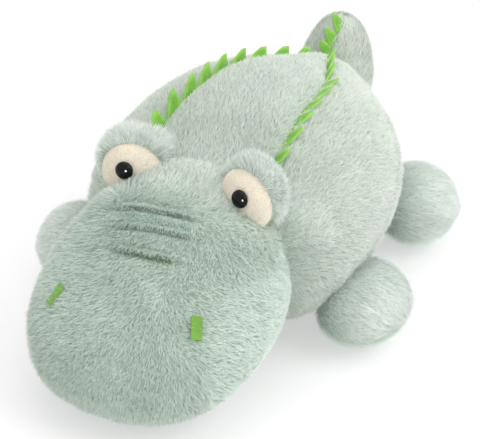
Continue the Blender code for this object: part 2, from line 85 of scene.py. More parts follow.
def add_node(tree, kind, settings, sockets):
    """Node with its settings, its sockets set to a value or linked from another node's output."""
    item = tree.nodes.new(kind)
    for name, value in settings.items():
        setattr(item, name, value)
    for key, value in sockets.items():
        if isinstance(value, bpy.types.NodeSocket):
            tree.links.new(value, item.inputs[key])
        else:
            item.inputs[key].default_value = value
    return item


def new_material(name):
    """Empty material, its tree and its output node."""
    material = bpy.data.materials.new(name)
    material.use_nodes = True
    material.node_tree.nodes.clear()
    tree = material.node_tree
    return material, tree, tree.nodes.new("ShaderNodeOutputMaterial")


def put_object(name, mesh, material=None):
    """Object at the origin with its mesh, lamp or camera, and its material."""
    item = bpy.data.objects.new(name, mesh)
    bpy.context.scene.collection.objects.link(item)
    if material:
        mesh.materials.clear()
        mesh.materials.append(material)
    return item


def aim(item, target):
    """Turns a lamp or camera to look at a place."""
    item.rotation_euler = (target - item.location).to_track_quat("-Z", "Y").to_euler()


def paper_seen(tree):
    """1 where the white paper is looked at, straight or in a gloss, and 0 where it throws light."""
    path = add_node(tree, "ShaderNodeLightPath", {}, {})
    seen = add_node(tree, "ShaderNodeMath", {"operation": "ADD"}, {
        0: path.outputs["Is Camera Ray"], 1: path.outputs["Is Glossy Ray"]})
    return add_node(tree, "ShaderNodeMath", {"operation": "ADD", "use_clamp": True}, {
        0: seen.outputs[0], 1: path.outputs["Is Transmission Ray"]}).outputs[0]


camera = put_object("photo_camera", bpy.data.cameras.new("photo_camera"))
camera.data.lens = VIEW_LENS
camera.data.sensor_width = VIEW_SENSOR
camera.data.clip_start = VIEW_NEAR
view_back = Vector((math.sin(VIEW_AZIMUTH) * math.cos(VIEW_ELEVATION),
                    -math.cos(VIEW_AZIMUTH) * math.cos(VIEW_ELEVATION),
                    math.sin(VIEW_ELEVATION)))
camera.location = VIEW_TARGET + view_back * VIEW_DISTANCE
aim(camera, VIEW_TARGET)
bpy.context.scene.camera = camera
bpy.context.scene.view_settings.view_transform = "Standard"

for name, place, size, power in (("key_lamp", KEY_PLACE, KEY_SIZE, KEY_POWER),
                                 ("top_lamp", TOP_LAMP_PLACE, TOP_LAMP_SIZE, TOP_LAMP_POWER),
                                 ("eye_lamp", EYE_LAMP_PLACE, EYE_LAMP_SIZE, EYE_LAMP_POWER)):
    lamp = bpy.data.lights.new(name, "AREA")
    lamp.shape = "DISK"
    lamp.size = size
    lamp.energy = power
    lamp_item = put_object(name, lamp)
    lamp_item.location = place
    aim(lamp_item, VIEW_TARGET)
# The low front lamp is only there for the highlights on the glossy eyes
lamp_item.visible_diffuse = False

# The room light is white paper to the eye, and a little dimmer as light on the toy
world = bpy.data.worlds.new("paper_room")
bpy.context.scene.world = world
world.use_nodes = True
world.node_tree.nodes.clear()
tree = world.node_tree
strength = add_node(tree, "ShaderNodeMapRange", {}, {0: paper_seen(tree), 3: ROOM_STRENGTH, 4: 1.0})
paper = add_node(tree, "ShaderNodeBackground", {}, {
    "Color": (1, 1, 1, 1), "Strength": strength.outputs[0]})
add_node(tree, "ShaderNodeOutputWorld", {}, {"Surface": paper.outputs[0]})

# White card, uncoated and matt: it takes the toy's soft shadow and shows no shine or grain
material, tree, out = new_material("white_table_paper")
sheet = add_node(tree, "ShaderNodeBsdfPrincipled", {}, {
    "Base Color": linear(PAPER_WHITE), "Roughness": PAPER_ROUGHNESS})
glow = add_node(tree, "ShaderNodeEmission", {}, {"Color": (1, 1, 1, 1), "Strength": 1.0})
share = add_node(tree, "ShaderNodeMath", {"operation": "MULTIPLY"}, {
    0: paper_seen(tree), 1: PAPER_GLOW})
paper = add_node(tree, "ShaderNodeMixShader", {}, {
    0: share.outputs[0], 1: sheet.outputs[0], 2: glow.outputs[0]})
tree.links.new(paper.outputs[0], out.inputs["Surface"])
bm = bmesh.new()
bmesh.ops.create_grid(bm, x_segments=1, y_segments=1, size=FLOOR_SPAN / 2)
bmesh.ops.translate(bm, vec=(0, 0, -FLOOR_DROP), verts=bm.verts)
mesh = bpy.data.meshes.new("floor")
bm.to_mesh(mesh)
bm.free()
floor = put_object("floor", mesh, material)



# Body
# One fat stuffed form, sewn of a leaf-shaped back panel, two side panels and a belly panel of
# short-pile polyester plush. The panels puff out between their seams, whose stitches lie hidden.
RING_POINTS = 10
UPPER_POWER = 2.3
LOWER_POWER = 2.0
DRAW_IN_SHARE = 0.936
POLE_DRAW_SHARE = 0.35
FORM_LEVELS = 3
BODY_FRONT_Y = -0.088
BODY_LENGTH = 0.252
BODY_HALF_WIDTH = 0.112
BODY_HEIGHT = 0.168
BODY_SHARES = ((0, 0.07, 0.25, 0.48, 0.72, 0.92, 1), (0, 0.84, 1.03, 1, 0.93, 0.60, 0),
               (0.50, 0.68, 0.94, 1, 0.96, 0.82, 0.56), (0.50, 0.09, 0, 0, 0, 0.09, 0.56))
BODY_VOXEL = 0.0046
SKIN_SET_BACK = 0.0012
SEAM_REACH = 0.016
SEAM_HELD = 0.6
PUFF_CAP = 0.0030
PUFF_FRAMES = 20
STUFFING_PRESSURE = 4
FURROW_DEPTH = 0.0026
FURROW_WIDTH = 0.0035
# What lies above this height is the back or the crown of the head
BACK_LOW = 0.10
# Places are dropped on a skin from this far out
DROP_FROM = 0.3
BACK_SEAM_START_Y = -0.034
BACK_SEAM_END_Y = 0.150
LEFT_SEAM_HALF_SPAN = 0.04592
RIGHT_SEAM_HALF_SPAN = 0.05174
BACK_SEAM_STEPS = 16
BACK_SEAM_SHARES = (1, 0.99, 0.92, 0.87, 0.74, 0.46, 0.12)
FLANK_SEAM = ((-0.085, 0.034), (-0.050, 0.040), (-0.020, 0.052), (0.030, 0.063), (0.055, 0.078),
              (0.085, 0.098), (0.110, 0.114), (0.140, 0.120))
# Two low ridges run along each flank seam, where its allowance lies folded inside
FLANK_LINES = (0.004, -0.006)
FLANK_RIDGE = 0.0024
FLANK_RIDGE_WIDTH = 0.0024
# Fuller stuffing: its place, or only its Y where it runs across the crown, its reach and its rise
CROWN_JOIN = (-0.047, 0.014, 0.0058)
REAR_FULLER = ((0.010, 0.143, 0.126), 0.028, 0.0095)
# The nap. Real plush hair is some hundredths of a millimetre wide, so fewer and wider hairs are
# grown, as coarse as the picture needs to show them
PILE_LENGTH = 0.0062
PILE_LIFT = 0.62
PILE_WIDTH = 0.00046
PILE_DENSITY = 9.5e5
TUFT_SIZE = 0.0042
TUFT_PULL = 0.3
PILE_STRAY = 0.5
PILE_FALL = 0.35
NAP_SPLIT_X = 0.042
BODY_PILE_ROOT = "#C8D5CA"
BODY_PILE_TIP = "#F7FAF4"
BODY_PILE_UNEVEN = (0.87, 1.06)
SEAM_PILE_CUT = 0.6
SEAM_PILE_REACH = 0.0050
RIDGE_PILE_CUT = 0.3
# Painted light along the flank ridges, and painted shade in the hollows beside them, this much
# deeper
RIDGE_PAINTED_LIGHT = 0.08
VALLEY_PAINTED_SHADE = 1.5
JOIN_LAY = 0.30
UNDERSIDE_BARE = 0.12
PLUSH_BACKING = "#C4D3C8"


def plump_section(centre, side, up, half_width, above, below):
    """Ring of points round a plump section, swollen by what the smoothing draws in."""
    points = []
    for k in range(RING_POINTS):
        angle = 2 * math.pi * k / RING_POINTS
        c, s = math.cos(angle), math.sin(angle)
        power = UPPER_POWER if s > 0 else LOWER_POWER
        x = math.copysign(abs(c) ** (2 / power), c) * half_width
        z = math.copysign(abs(s) ** (2 / power), s) * (above if s > 0 else below)
        points.append(centre + (side * x + up * z) / DRAW_IN_SHARE)
    return points


def close_rings(rings):
    """Pushes both end points out, so that the smoothed ends reach them."""
    for end, near in ((0, 1), (-1, -2)):
        middle = sum(rings[near], Vector()) / len(rings[near])
        rings[end] = [rings[end][0] + (rings[end][0] - middle) * POLE_DRAW_SHARE]
    return rings


def lying_rings(front_y, length, half_width, height, shares):
    """Rings of a form that lies along Y on the table."""
    rings = []
    for station, width, top, bottom in zip(*shares):
        low, high = bottom * height, top * height
        centre = Vector((0, front_y + length * station, (low + high) / 2))
        half = (high - low) / 2
        ring = plump_section(centre, Vector((1, 0, 0)), Vector((0, 0, 1)),
                             width * half_width, half, half)
        rings.append(ring if width else [centre])
    return close_rings(rings)


def finished(item):
    """New mesh of an object with its modifiers carried out."""
    bpy.context.view_layer.update()
    graph = bpy.context.evaluated_depsgraph_get()
    return bpy.data.meshes.new_from_object(
        item.evaluated_get(graph), preserve_all_data_layers=True, depsgraph=graph)


def drop(item):
    """Takes a helper object out of the scene."""
    bpy.data.objects.remove(item, do_unlink=True)


def points_of(mesh):
    """Places of a mesh's points, one row each."""
    values = np.empty(len(mesh.vertices) * 3)
    mesh.vertices.foreach_get("co", values)
    return values.reshape(-1, 3)


def normals_of(mesh):
    """Ways out of the skin at a mesh's points, one row each."""
    values = np.empty(len(mesh.vertices) * 3)
    mesh.vertex_normals.foreach_get("vector", values)
    return values.reshape(-1, 3)


def set_points(mesh, values):
    """Moves a mesh's points."""
    mesh.vertices.foreach_set("co", np.ascontiguousarray(values).ravel())
    mesh.update()


def set_down(mesh):
    """Skin pressed flat where it lies on the table."""
    points = points_of(mesh)
    points[:, 2] = np.maximum(points[:, 2], 0)
    set_points(mesh, points)
    return points


def fall_off(gap, reach):
    """1 at a place, falling smoothly to 0 beyond a reach."""
    return np.exp(-(gap / reach) ** 2)


def rising(gap, width):
    """0 up to an edge, rising to 1 over a width past it."""
    return np.clip(gap / width, 0, 1)


def to_line(points, line):
    """Distance of each point from a line through places, and its share of the way along it."""
    line = np.array(line, float)
    steps = np.linalg.norm(np.diff(line, axis=0), axis=1)
    at = np.concatenate([[0], np.cumsum(steps)])
    best = np.full(len(points), np.inf)
    share = np.zeros(len(points))
    for k in range(len(steps)):
        run = line[k + 1] - line[k]
        t = np.clip(((points - line[k]) @ run) / (run @ run), 0, 1)
        gap = np.linalg.norm(points - line[k] - t[:, None] * run, axis=1)
        nearer = gap < best
        best[nearer] = gap[nearer]
        share[nearer] = (at[k] + t[nearer] * steps[k]) / at[-1]
    return best, share


def nearest_line(points, lines):
    """Distance of each point from the nearest of several lines."""
    return np.min([to_line(points, line)[0] for line in lines], axis=0)


def even_form(name, rings, voxel):
    """Evenly meshed closed form from rings of points, set back to leave room for the nap."""
    bm = bmesh.new()
    loops = [[bm.verts.new(p) for p in ring] for ring in rings]
    for lower, upper in zip(loops, loops[1:]):
        for k in range(RING_POINTS):
            n = (k + 1) % RING_POINTS
            turns = ((lower, k), (lower, n), (upper, n), (upper, k))
            corners = [ring[i % len(ring)] for ring, i in turns]
            bm.faces.new(list(dict.fromkeys(corners)))
    bmesh.ops.recalc_face_normals(bm, faces=bm.faces)
    mesh = bpy.data.meshes.new(name)
    bm.to_mesh(mesh)
    bm.free()
    item = put_object(name + "_form", mesh)
    smooth = item.modifiers.new("smooth", "SUBSURF")
    smooth.levels = smooth.render_levels = FORM_LEVELS
    even = item.modifiers.new("even", "REMESH")
    even.mode = "VOXEL"
    even.voxel_size = voxel
    mesh = finished(item)
    drop(item)
    set_points(mesh, points_of(mesh) - normals_of(mesh) * SKIN_SET_BACK)
    return mesh


def puffed(name, mesh, seam_gap, cap, levels=1):
    """Skin blown out by its stuffing between the seams that hold it, and smoothed."""
    rest = points_of(mesh)
    held = np.clip(1 - seam_gap / SEAM_REACH, 0, 1)
    item = put_object(name + "_cloth", mesh.copy())
    group = item.vertex_groups.new(name="seam")
    for k in np.nonzero(held > SEAM_HELD)[0]:
        group.add([int(k)], 1.0, "REPLACE")
    cloth = item.modifiers.new("stuffing", "CLOTH")
    cloth.settings.use_pressure = True
    cloth.settings.uniform_pressure_force = STUFFING_PRESSURE
    cloth.settings.vertex_group_mass = "seam"
    cloth.settings.effector_weights.gravity = 0
    for step in range(1, PUFF_FRAMES + 1):
        bpy.context.scene.frame_set(step)
    blown = finished(item)
    move = points_of(blown) - rest
    size = np.linalg.norm(move, axis=1)
    puff = rest + move * (np.minimum(size, cap) / np.maximum(size, 1e-9))[:, None]
    drop(item)
    bpy.context.scene.frame_set(1)
    set_points(mesh, puff)
    item = put_object(name + "_fine", mesh)
    smooth = item.modifiers.new("smooth", "SUBSURF")
    smooth.levels = smooth.render_levels = levels
    fine = finished(item)
    drop(item)
    return fine


def furrow(mesh, line, depth, width):
    """Draws the skin in along a seam, or raises it where the depth is negative."""
    points = points_of(mesh)
    gap, _ = to_line(points, line)
    set_points(mesh, points - normals_of(mesh) * (depth * fall_off(gap, width))[:, None])


def swell(mesh, place, reach, rise):
    """Fuller stuffing round a place, or across the whole crown where only its Y is given."""
    points, normals = points_of(mesh), normals_of(mesh)
    if np.ndim(place):
        gap = np.linalg.norm((points - np.array(place)) / reach, axis=1)
    else:
        gap = np.where(points[:, 2] > BACK_LOW, (points[:, 1] - place) / reach, 9)
    set_points(mesh, points + normals * (rise * fall_off(gap, 1))[:, None])


def surface_of(mesh):
    """Search tree of a mesh's faces, on which places are dropped."""
    return BVHTree.FromPolygons([v.co for v in mesh.vertices], [p.vertices for p in mesh.polygons])


def on_surface(mesh, places, direction):
    """Places dropped on a skin along a direction."""
    tree = surface_of(mesh)
    found = []
    for place in places:
        point = tree.ray_cast(Vector(place), Vector(direction))[0]
        found.append(point if point else tree.find_nearest(Vector(place))[0])
    return found


def off_table(normals, least):
    """Growth of the nap: full on top, and thin where the skin faces down and lies on the table."""
    return np.clip((normals[:, 2] + 0.95) * 4, least, 1)


def join_band(points):
    """1 along the join of head and body across the crown, and 0 away from it."""
    return fall_off(points[:, 1] - CROWN_JOIN[0], CROWN_JOIN[1]) * (points[:, 2] > BACK_LOW)


def set_nap(mesh, comb, pile, lift, cover, painted_light=1.0):
    """Nap of a skin as attributes: comb, length, steepness, growth, and painted light and shade,
    such as painted shade down in folds.
    """
    normals = normals_of(mesh)
    comb = comb - normals * (comb * normals).sum(1)[:, None]
    comb /= np.maximum(np.linalg.norm(comb, axis=1), 1e-9)[:, None]
    mesh.attributes.new("comb", "FLOAT_VECTOR", "POINT").data.foreach_set("vector", comb.ravel())
    plain = np.ones(len(normals))
    for name, values in (("pile", pile), ("lift", lift), ("cover", cover), ("painted_light", painted_light)):
        layer = mesh.attributes.new(name, "FLOAT", "POINT")
        layer.data.foreach_set("value", plain * values)


# Shape of one hair: how far its steepness and length vary, how it thins to its tip and arches up
HAIR_LIFT_SPREAD = (0.6, 1.4)
HAIR_LENGTH_SPREAD = (0.75, 1.2)
HAIR_THIN_POWER = 3.0
HAIR_ARCH = 0.13
HAIR_ARCH_TURN = 2.6
HAIR_POINTS = 5


def nap_tree():
    """Geometry Nodes tree of tapered plush hairs in tufts, combed by the skin's attributes."""
    tree = bpy.data.node_groups.new("plush_nap", "GeometryNodeTree")
    sockets = tree.interface
    sockets.new_socket("Geometry", in_out="OUTPUT", socket_type="NodeSocketGeometry")
    sockets.new_socket("Skin", in_out="INPUT", socket_type="NodeSocketGeometry")
    for name, kind in (("Density", "Float"), ("Length", "Float"), ("Width", "Float"),
                       ("Tuft Size", "Float"), ("Tuft Pull", "Float"), ("Stray", "Float"),
                       ("Wander Size", "Float"), ("Wander", "Float"), ("Seed", "Int"),
                       ("Material", "Material")):
        sockets.new_socket(name, in_out="INPUT", socket_type="NodeSocket" + kind)
    given = tree.nodes.new("NodeGroupInput").outputs
    number, way = {"data_type": "FLOAT"}, {"data_type": "FLOAT_VECTOR"}
    plus, minus = {"operation": "ADD"}, {"operation": "SUBTRACT"}
    times, over = {"operation": "MULTIPLY"}, {"operation": "DIVIDE"}
    scale = {"operation": "SCALE"}

    def add(kind, settings, sockets, out=0):
        """Output of a new node of this tree."""
        return add_node(tree, kind, settings, sockets).outputs[out]

    # Roots, spread over the skin by its growth, with the way out of the skin kept on each
    seed = given["Seed"]
    cover = add("GeometryNodeInputNamedAttribute", number, {"Name": "cover"})
    density = add("ShaderNodeMath", times, {0: given["Density"], 1: cover})
    spread = add_node(tree, "GeometryNodeDistributePointsOnFaces", {}, {
        "Mesh": given["Skin"], "Density": density, "Seed": seed})
    roots = add("GeometryNodeStoreNamedAttribute", way, {
        "Geometry": spread.outputs["Points"], "Name": "face_out",
        "Value": spread.outputs["Normal"]})
    face_out = add("GeometryNodeInputNamedAttribute", way, {"Name": "face_out"})
    place = add("GeometryNodeInputPosition", {}, {})

    # Lean of a hair: the comb, a pull to the middle of its tuft, its own stray and a slow wander
    cells = add_node(tree, "ShaderNodeTexVoronoi", {}, {
        "Vector": place, "Scale": add("ShaderNodeMath", over, {0: 1.0, 1: given["Tuft Size"]})})
    pull = add("ShaderNodeMath", over, {0: given["Tuft Pull"], 1: given["Tuft Size"]})
    to_tuft = add("ShaderNodeVectorMath", minus, {0: cells.outputs["Position"], 1: place})
    to_tuft = add("ShaderNodeVectorMath", scale, {0: to_tuft, "Scale": pull})
    stray = add("FunctionNodeRandomValue", way, {0: (-1, -1, -1), 1: (1, 1, 1), "Seed": seed})
    stray = add("ShaderNodeVectorMath", scale, {0: stray, "Scale": given["Stray"]})
    cloud = add_node(tree, "ShaderNodeTexNoise", {}, {
        "Vector": place, "Detail": 1.0,
        "Scale": add("ShaderNodeMath", over, {0: 1.0, 1: given["Wander Size"]})})
    wander = add("ShaderNodeMath", times, {0: given["Wander"], 1: 4.0})
    drift = add("ShaderNodeVectorMath", minus, {0: cloud.outputs["Color"], 1: (0.5, 0.5, 0.5)})
    drift = add("ShaderNodeVectorMath", scale, {0: drift, "Scale": wander})
    comb = add("GeometryNodeInputNamedAttribute", way, {"Name": "comb"})
    lean = add("ShaderNodeVectorMath", plus, {0: comb, 1: to_tuft})
    lean = add("ShaderNodeVectorMath", plus, {0: lean, 1: stray})
    lean = add("ShaderNodeVectorMath", plus, {0: lean, 1: drift})

    # The lean laid along the skin, and raised from it by the steepness
    raised = add("ShaderNodeVectorMath", {"operation": "DOT_PRODUCT"}, {0: lean, 1: face_out}, 1)
    raised = add("ShaderNodeVectorMath", scale, {0: face_out, "Scale": raised})
    flat = add("ShaderNodeVectorMath", minus, {0: lean, 1: raised})
    flat = add("ShaderNodeVectorMath", {"operation": "NORMALIZE"}, {0: flat})
    chance = add("FunctionNodeRandomValue", {}, {
        2: HAIR_LIFT_SPREAD[0], 3: HAIR_LIFT_SPREAD[1],
        "Seed": add("ShaderNodeMath", plus, {0: seed, 1: 1})}, 1)
    lift = add("GeometryNodeInputNamedAttribute", number, {"Name": "lift"})
    rise = add("ShaderNodeMath", times, {0: lift, 1: chance})
    slow = add("ShaderNodeMath", times, {0: cloud.outputs["Fac"], 1: 1.2})
    slow = add("ShaderNodeMath", plus, {0: slow, 1: 0.4})
    rise = add("ShaderNodeMath", times, {0: rise, 1: slow})
    onward = add("ShaderNodeMath", {"operation": "COSINE"}, {0: rise})
    upward = add("ShaderNodeMath", {"operation": "SINE"}, {0: rise})
    onward = add("ShaderNodeVectorMath", scale, {0: flat, "Scale": onward})
    upward = add("ShaderNodeVectorMath", scale, {0: face_out, "Scale": upward})
    heading = add("ShaderNodeVectorMath", plus, {0: onward, 1: upward})
    turn = add("FunctionNodeAxesToRotation", {"primary_axis": "Y", "secondary_axis": "Z"}, {
        "Primary Axis": heading, "Secondary Axis": face_out})

    # Its size
    pile = add("GeometryNodeInputNamedAttribute", number, {"Name": "pile"})
    long = add("ShaderNodeMath", times, {0: given["Length"], 1: pile})
    chance = add("FunctionNodeRandomValue", {}, {
        2: HAIR_LENGTH_SPREAD[0], 3: HAIR_LENGTH_SPREAD[1],
        "Seed": add("ShaderNodeMath", plus, {0: seed, 1: 2})}, 1)
    long = add("ShaderNodeMath", times, {0: long, 1: chance})
    size = add("ShaderNodeCombineXYZ", {}, {0: given["Width"], 1: long, 2: long})

    # One hair is a ribbon of two spans that arches up and comes to a point
    hair = add("GeometryNodeMeshGrid", {}, {
        "Size X": 1.0, "Size Y": 1.0, "Vertices X": 2, "Vertices Y": 3})
    part = add_node(tree, "ShaderNodeSeparateXYZ", {}, {0: place}).outputs
    along = add("ShaderNodeMath", plus, {0: part[1], 1: 0.5})
    thin = add("ShaderNodeMath", {"operation": "POWER"}, {0: along, 1: HAIR_THIN_POWER})
    thin = add("ShaderNodeMath", minus, {0: 1.0, 1: thin})
    across = add("ShaderNodeMath", times, {0: part[0], 1: thin})
    arch = add("ShaderNodeMath", times, {0: along, 1: HAIR_ARCH_TURN})
    arch = add("ShaderNodeMath", {"operation": "SINE"}, {0: arch})
    arch = add("ShaderNodeMath", times, {0: arch, 1: HAIR_ARCH})
    bent = add("ShaderNodeCombineXYZ", {}, {0: across, 1: along, 2: arch})
    hair = add("GeometryNodeStoreNamedAttribute", number, {
        "Geometry": hair, "Name": "along", "Value": along})
    hair = add("GeometryNodeSetPosition", {}, {"Geometry": hair, "Position": bent})
    hair = add("GeometryNodeMergeByDistance", {}, {"Geometry": hair, "Distance": 0.001})
    grown = add("GeometryNodeInstanceOnPoints", {}, {
        "Points": roots, "Instance": hair, "Rotation": turn, "Scale": size})

    # Each hair carries a tint of its own and one of its tuft
    chance = add("FunctionNodeRandomValue", {}, {
        2: 0.0, 3: 1.0, "Seed": add("ShaderNodeMath", plus, {0: seed, 1: 3})}, 1)
    tuft = add("ShaderNodeSeparateXYZ", {}, {0: cells.outputs["Color"]})
    for name, value in (("hair_tint", chance), ("tuft_tint", tuft)):
        grown = add("GeometryNodeStoreNamedAttribute", {**number, "domain": "INSTANCE"}, {
            "Geometry": grown, "Name": name, "Value": value})
    real = add("GeometryNodeRealizeInstances", {}, {"Geometry": grown})
    real = add("GeometryNodeSetMaterial", {}, {"Geometry": real, "Material": given["Material"]})
    add_node(tree, "NodeGroupOutput", {}, {"Geometry": real})
    return tree


NAP = nap_tree()
NAP_WANDER_SIZE = 0.011
NAP_WANDER = 0.35
TABLE_CLEAR = 0.0001
HAIR_CELL = ((0.25, 0.5), (0.15, 0.7))


def grow_nap(name, skin_mesh, material, density, length, width, tuft, pull, stray, seed, mask=None):
    """Plain mesh of hairs grown on a skin, each hair with its own cell in the bake map."""
    skin_mesh = skin_mesh.copy()
    if mask is not None:
        cover = np.empty(len(skin_mesh.vertices))
        skin_mesh.attributes["cover"].data.foreach_get("value", cover)
        skin_mesh.attributes["cover"].data.foreach_set("value", cover * mask)
    item = put_object(name + "_skin", skin_mesh)
    grower = item.modifiers.new("nap", "NODES")
    grower.node_group = NAP
    sockets = {s.name: s.identifier for s in NAP.interface.items_tree if s.in_out == "INPUT"}
    for key, value in (("Density", density), ("Length", length), ("Width", width),
                       ("Tuft Size", tuft), ("Tuft Pull", pull), ("Stray", stray),
                       ("Wander Size", NAP_WANDER_SIZE), ("Wander", NAP_WANDER), ("Seed", seed),
                       ("Material", material)):
        grower[sockets[key]] = value
    mesh = finished(item)
    drop(item)
    for extra in ("comb", "pile", "lift", "cover", "face_out", "UVMap"):
        if extra in mesh.attributes:
            mesh.attributes.remove(mesh.attributes[extra])
    points = points_of(mesh)
    points[:, 2] = np.maximum(points[:, 2], TABLE_CLEAR)
    set_points(mesh, points)
    along = np.empty(len(points))
    mesh.attributes["along"].data.foreach_get("value", along)
    corner = np.empty(len(mesh.loops), int)
    mesh.loops.foreach_get("vertex_index", corner)
    side = math.ceil(math.sqrt(len(points) // HAIR_POINTS))
    hair, edge = corner // HAIR_POINTS, corner % HAIR_POINTS % 2
    (left, span), (low, reach) = HAIR_CELL
    u = (hair % side + left + span * edge) / side
    v = (hair // side + low + reach * along[corner]) / side
    layer = mesh.uv_layers.new(name="OFBake")
    layer.data.foreach_set("uv", np.stack([u, v], 1).ravel())
    return put_object(name, mesh)


# Pattern scales are counts in a metre: 45 gives the pile brushed patches about 22 mm wide, and
# 700 gives its backing a knit of 1.4 mm, coarser than the real one so that it shows
PILE_PATCH_SCALE = 45.0
KNIT_SCALE = 700.0
PILE_TIP_POWER = 0.8


def plush_pile_material(name, root, tip, uneven=(0.78, 1.12), through=0.3):
    """Polyester plush nap, tufted and cut level: matt, dark at the roots and soft at the tips."""
    material, tree, out = new_material(name)
    read = {key: add_node(tree, "ShaderNodeAttribute", {"attribute_name": key}, {}).outputs["Fac"]
            for key in ("along", "hair_tint", "tuft_tint", "painted_light")}
    place = add_node(tree, "ShaderNodeTexCoord", {}, {}).outputs["Object"]
    cloud = add_node(tree, "ShaderNodeTexNoise", {}, {
        "Vector": place, "Scale": PILE_PATCH_SCALE, "Detail": 2.0}).outputs["Fac"]
    height = add_node(tree, "ShaderNodeMath", {"operation": "POWER"}, {
        0: read["along"], 1: PILE_TIP_POWER}).outputs[0]
    colour = add_node(tree, "ShaderNodeMix", {"data_type": "RGBA"}, {
        0: height, 6: linear(root), 7: linear(tip)}).outputs[2]
    bright = add_node(tree, "ShaderNodeMapRange", {}, {
        0: read["hair_tint"], 3: uneven[0], 4: uneven[1]}).outputs[0]
    patch = add_node(tree, "ShaderNodeMapRange", {}, {
        0: read["tuft_tint"], 3: 0.97, 4: 1.03}).outputs[0]
    drift = add_node(tree, "ShaderNodeMapRange", {}, {
        0: cloud, 1: 0.3, 2: 0.7, 3: 0.96, 4: 1.04}).outputs[0]
    # The skin's painted light and painted shade lighten or darken the hairs along with their tints
    for factor in (patch, drift, read["painted_light"]):
        bright = add_node(tree, "ShaderNodeMath", {"operation": "MULTIPLY"}, {
            0: bright, 1: factor}).outputs[0]
    colour = add_node(tree, "ShaderNodeHueSaturation", {}, {
        "Value": bright, "Color": colour}).outputs[0]
    front = add_node(tree, "ShaderNodeBsdfPrincipled", {}, {
        "Base Color": colour, "Roughness": 0.85, "Sheen Weight": 0.3, "Sheen Roughness": 0.6,
        "Specular IOR Level": 0.15})
    behind = add_node(tree, "ShaderNodeBsdfTranslucent", {}, {"Color": colour})
    shader = add_node(tree, "ShaderNodeMixShader", {}, {
        0: through, 1: front.outputs[0], 2: behind.outputs[0]})
    tree.links.new(shader.outputs[0], out.inputs["Surface"])
    return material


def plush_backing_material(name, base):
    """Knitted backing of the plush, seen down between the hairs: dull, fine and uneven."""
    material, tree, out = new_material(name)
    place = add_node(tree, "ShaderNodeTexCoord", {}, {}).outputs["Object"]
    grain = add_node(tree, "ShaderNodeTexNoise", {}, {
        "Vector": place, "Scale": KNIT_SCALE, "Detail": 3.0}).outputs["Fac"]
    bright = add_node(tree, "ShaderNodeMapRange", {}, {
        0: grain, 1: 0.3, 2: 0.7, 3: 0.8, 4: 1.12}).outputs[0]
    # The skin's painted light and painted shade, as on the nap
    painted_light = add_node(tree, "ShaderNodeAttribute", {"attribute_name": "painted_light"}, {}).outputs["Fac"]
    bright = add_node(tree, "ShaderNodeMath", {"operation": "MULTIPLY"}, {
        0: bright, 1: painted_light}).outputs[0]
    colour = add_node(tree, "ShaderNodeHueSaturation", {}, {
        "Value": bright, "Color": linear(base)}).outputs[0]
    bump = add_node(tree, "ShaderNodeBump", {}, {
        "Strength": 0.5, "Distance": 0.0006, "Height": grain}).outputs[0]
    shader = add_node(tree, "ShaderNodeBsdfPrincipled", {}, {
        "Base Color": colour, "Roughness": 0.95, "Normal": bump, "Specular IOR Level": 0.1})
    tree.links.new(shader.outputs[0], out.inputs["Surface"])
    return material


def smooth_values(values, share):
    """Value at a share of the way along an evenly spaced table."""
    at = np.clip(share, 0, 1) * (len(values) - 1)
    return np.interp(at, np.arange(len(values)), values)


# Pale mint pile, brushed along the back: near white at the tips, with little contrast between hairs
mint_pile = plush_pile_material("mint_plush_pile", BODY_PILE_ROOT, BODY_PILE_TIP, BODY_PILE_UNEVEN)
# Its knitted mint backing, a shade deeper, which shows as a soft dark line down in the folds:
# partly its own colour and the real shade there, partly the painted shade it takes from the skin
mint_backing = plush_backing_material("mint_plush_backing", PLUSH_BACKING)

rings = lying_rings(BODY_FRONT_Y, BODY_LENGTH, BODY_HALF_WIDTH, BODY_HEIGHT, BODY_SHARES)
mesh = even_form("body_skin", rings, BODY_VOXEL)
points = points_of(mesh)
share = (points[:, 1] - BACK_SEAM_START_Y) / (BACK_SEAM_END_Y - BACK_SEAM_START_Y)
half_spans = np.where(points[:, 0] > 0, LEFT_SEAM_HALF_SPAN, RIGHT_SEAM_HALF_SPAN)
seam_x = half_spans * smooth_values(BACK_SEAM_SHARES, share)
back_gap = np.where((points[:, 2] > BACK_LOW) & (share > 0),
                    np.abs(np.abs(points[:, 0]) - seam_x), 1.0)
flank_y, flank_z = np.array(FLANK_SEAM).T
flank_gap = np.abs(points[:, 2] - np.interp(points[:, 1], flank_y, flank_z))
mesh = puffed("body_skin", mesh, np.minimum(back_gap, flank_gap), PUFF_CAP)

back_seams, flank_seams = [], []
for side, half_span in ((1, LEFT_SEAM_HALF_SPAN), (-1, RIGHT_SEAM_HALF_SPAN)):
    ys = np.linspace(BACK_SEAM_START_Y, BACK_SEAM_END_Y, BACK_SEAM_STEPS)
    spans = half_span * smooth_values(BACK_SEAM_SHARES, np.linspace(0, 1, BACK_SEAM_STEPS))
    places = [(side * x, y, DROP_FROM) for x, y in zip(spans, ys)]
    back_seams.append(on_surface(mesh, places, (0, 0, -1)))
    for higher in FLANK_LINES:
        places = [(side * DROP_FROM, y, z + higher) for y, z in FLANK_SEAM]
        flank_seams.append(on_surface(mesh, places, (-side, 0, 0)))
for line in back_seams:
    furrow(mesh, line, FURROW_DEPTH, FURROW_WIDTH)
for line in flank_seams:
    furrow(mesh, line, -FLANK_RIDGE, FLANK_RIDGE_WIDTH)
for fuller in (CROWN_JOIN, REAR_FULLER):
    swell(mesh, *fuller)
points = set_down(mesh)
mesh.shade_smooth()
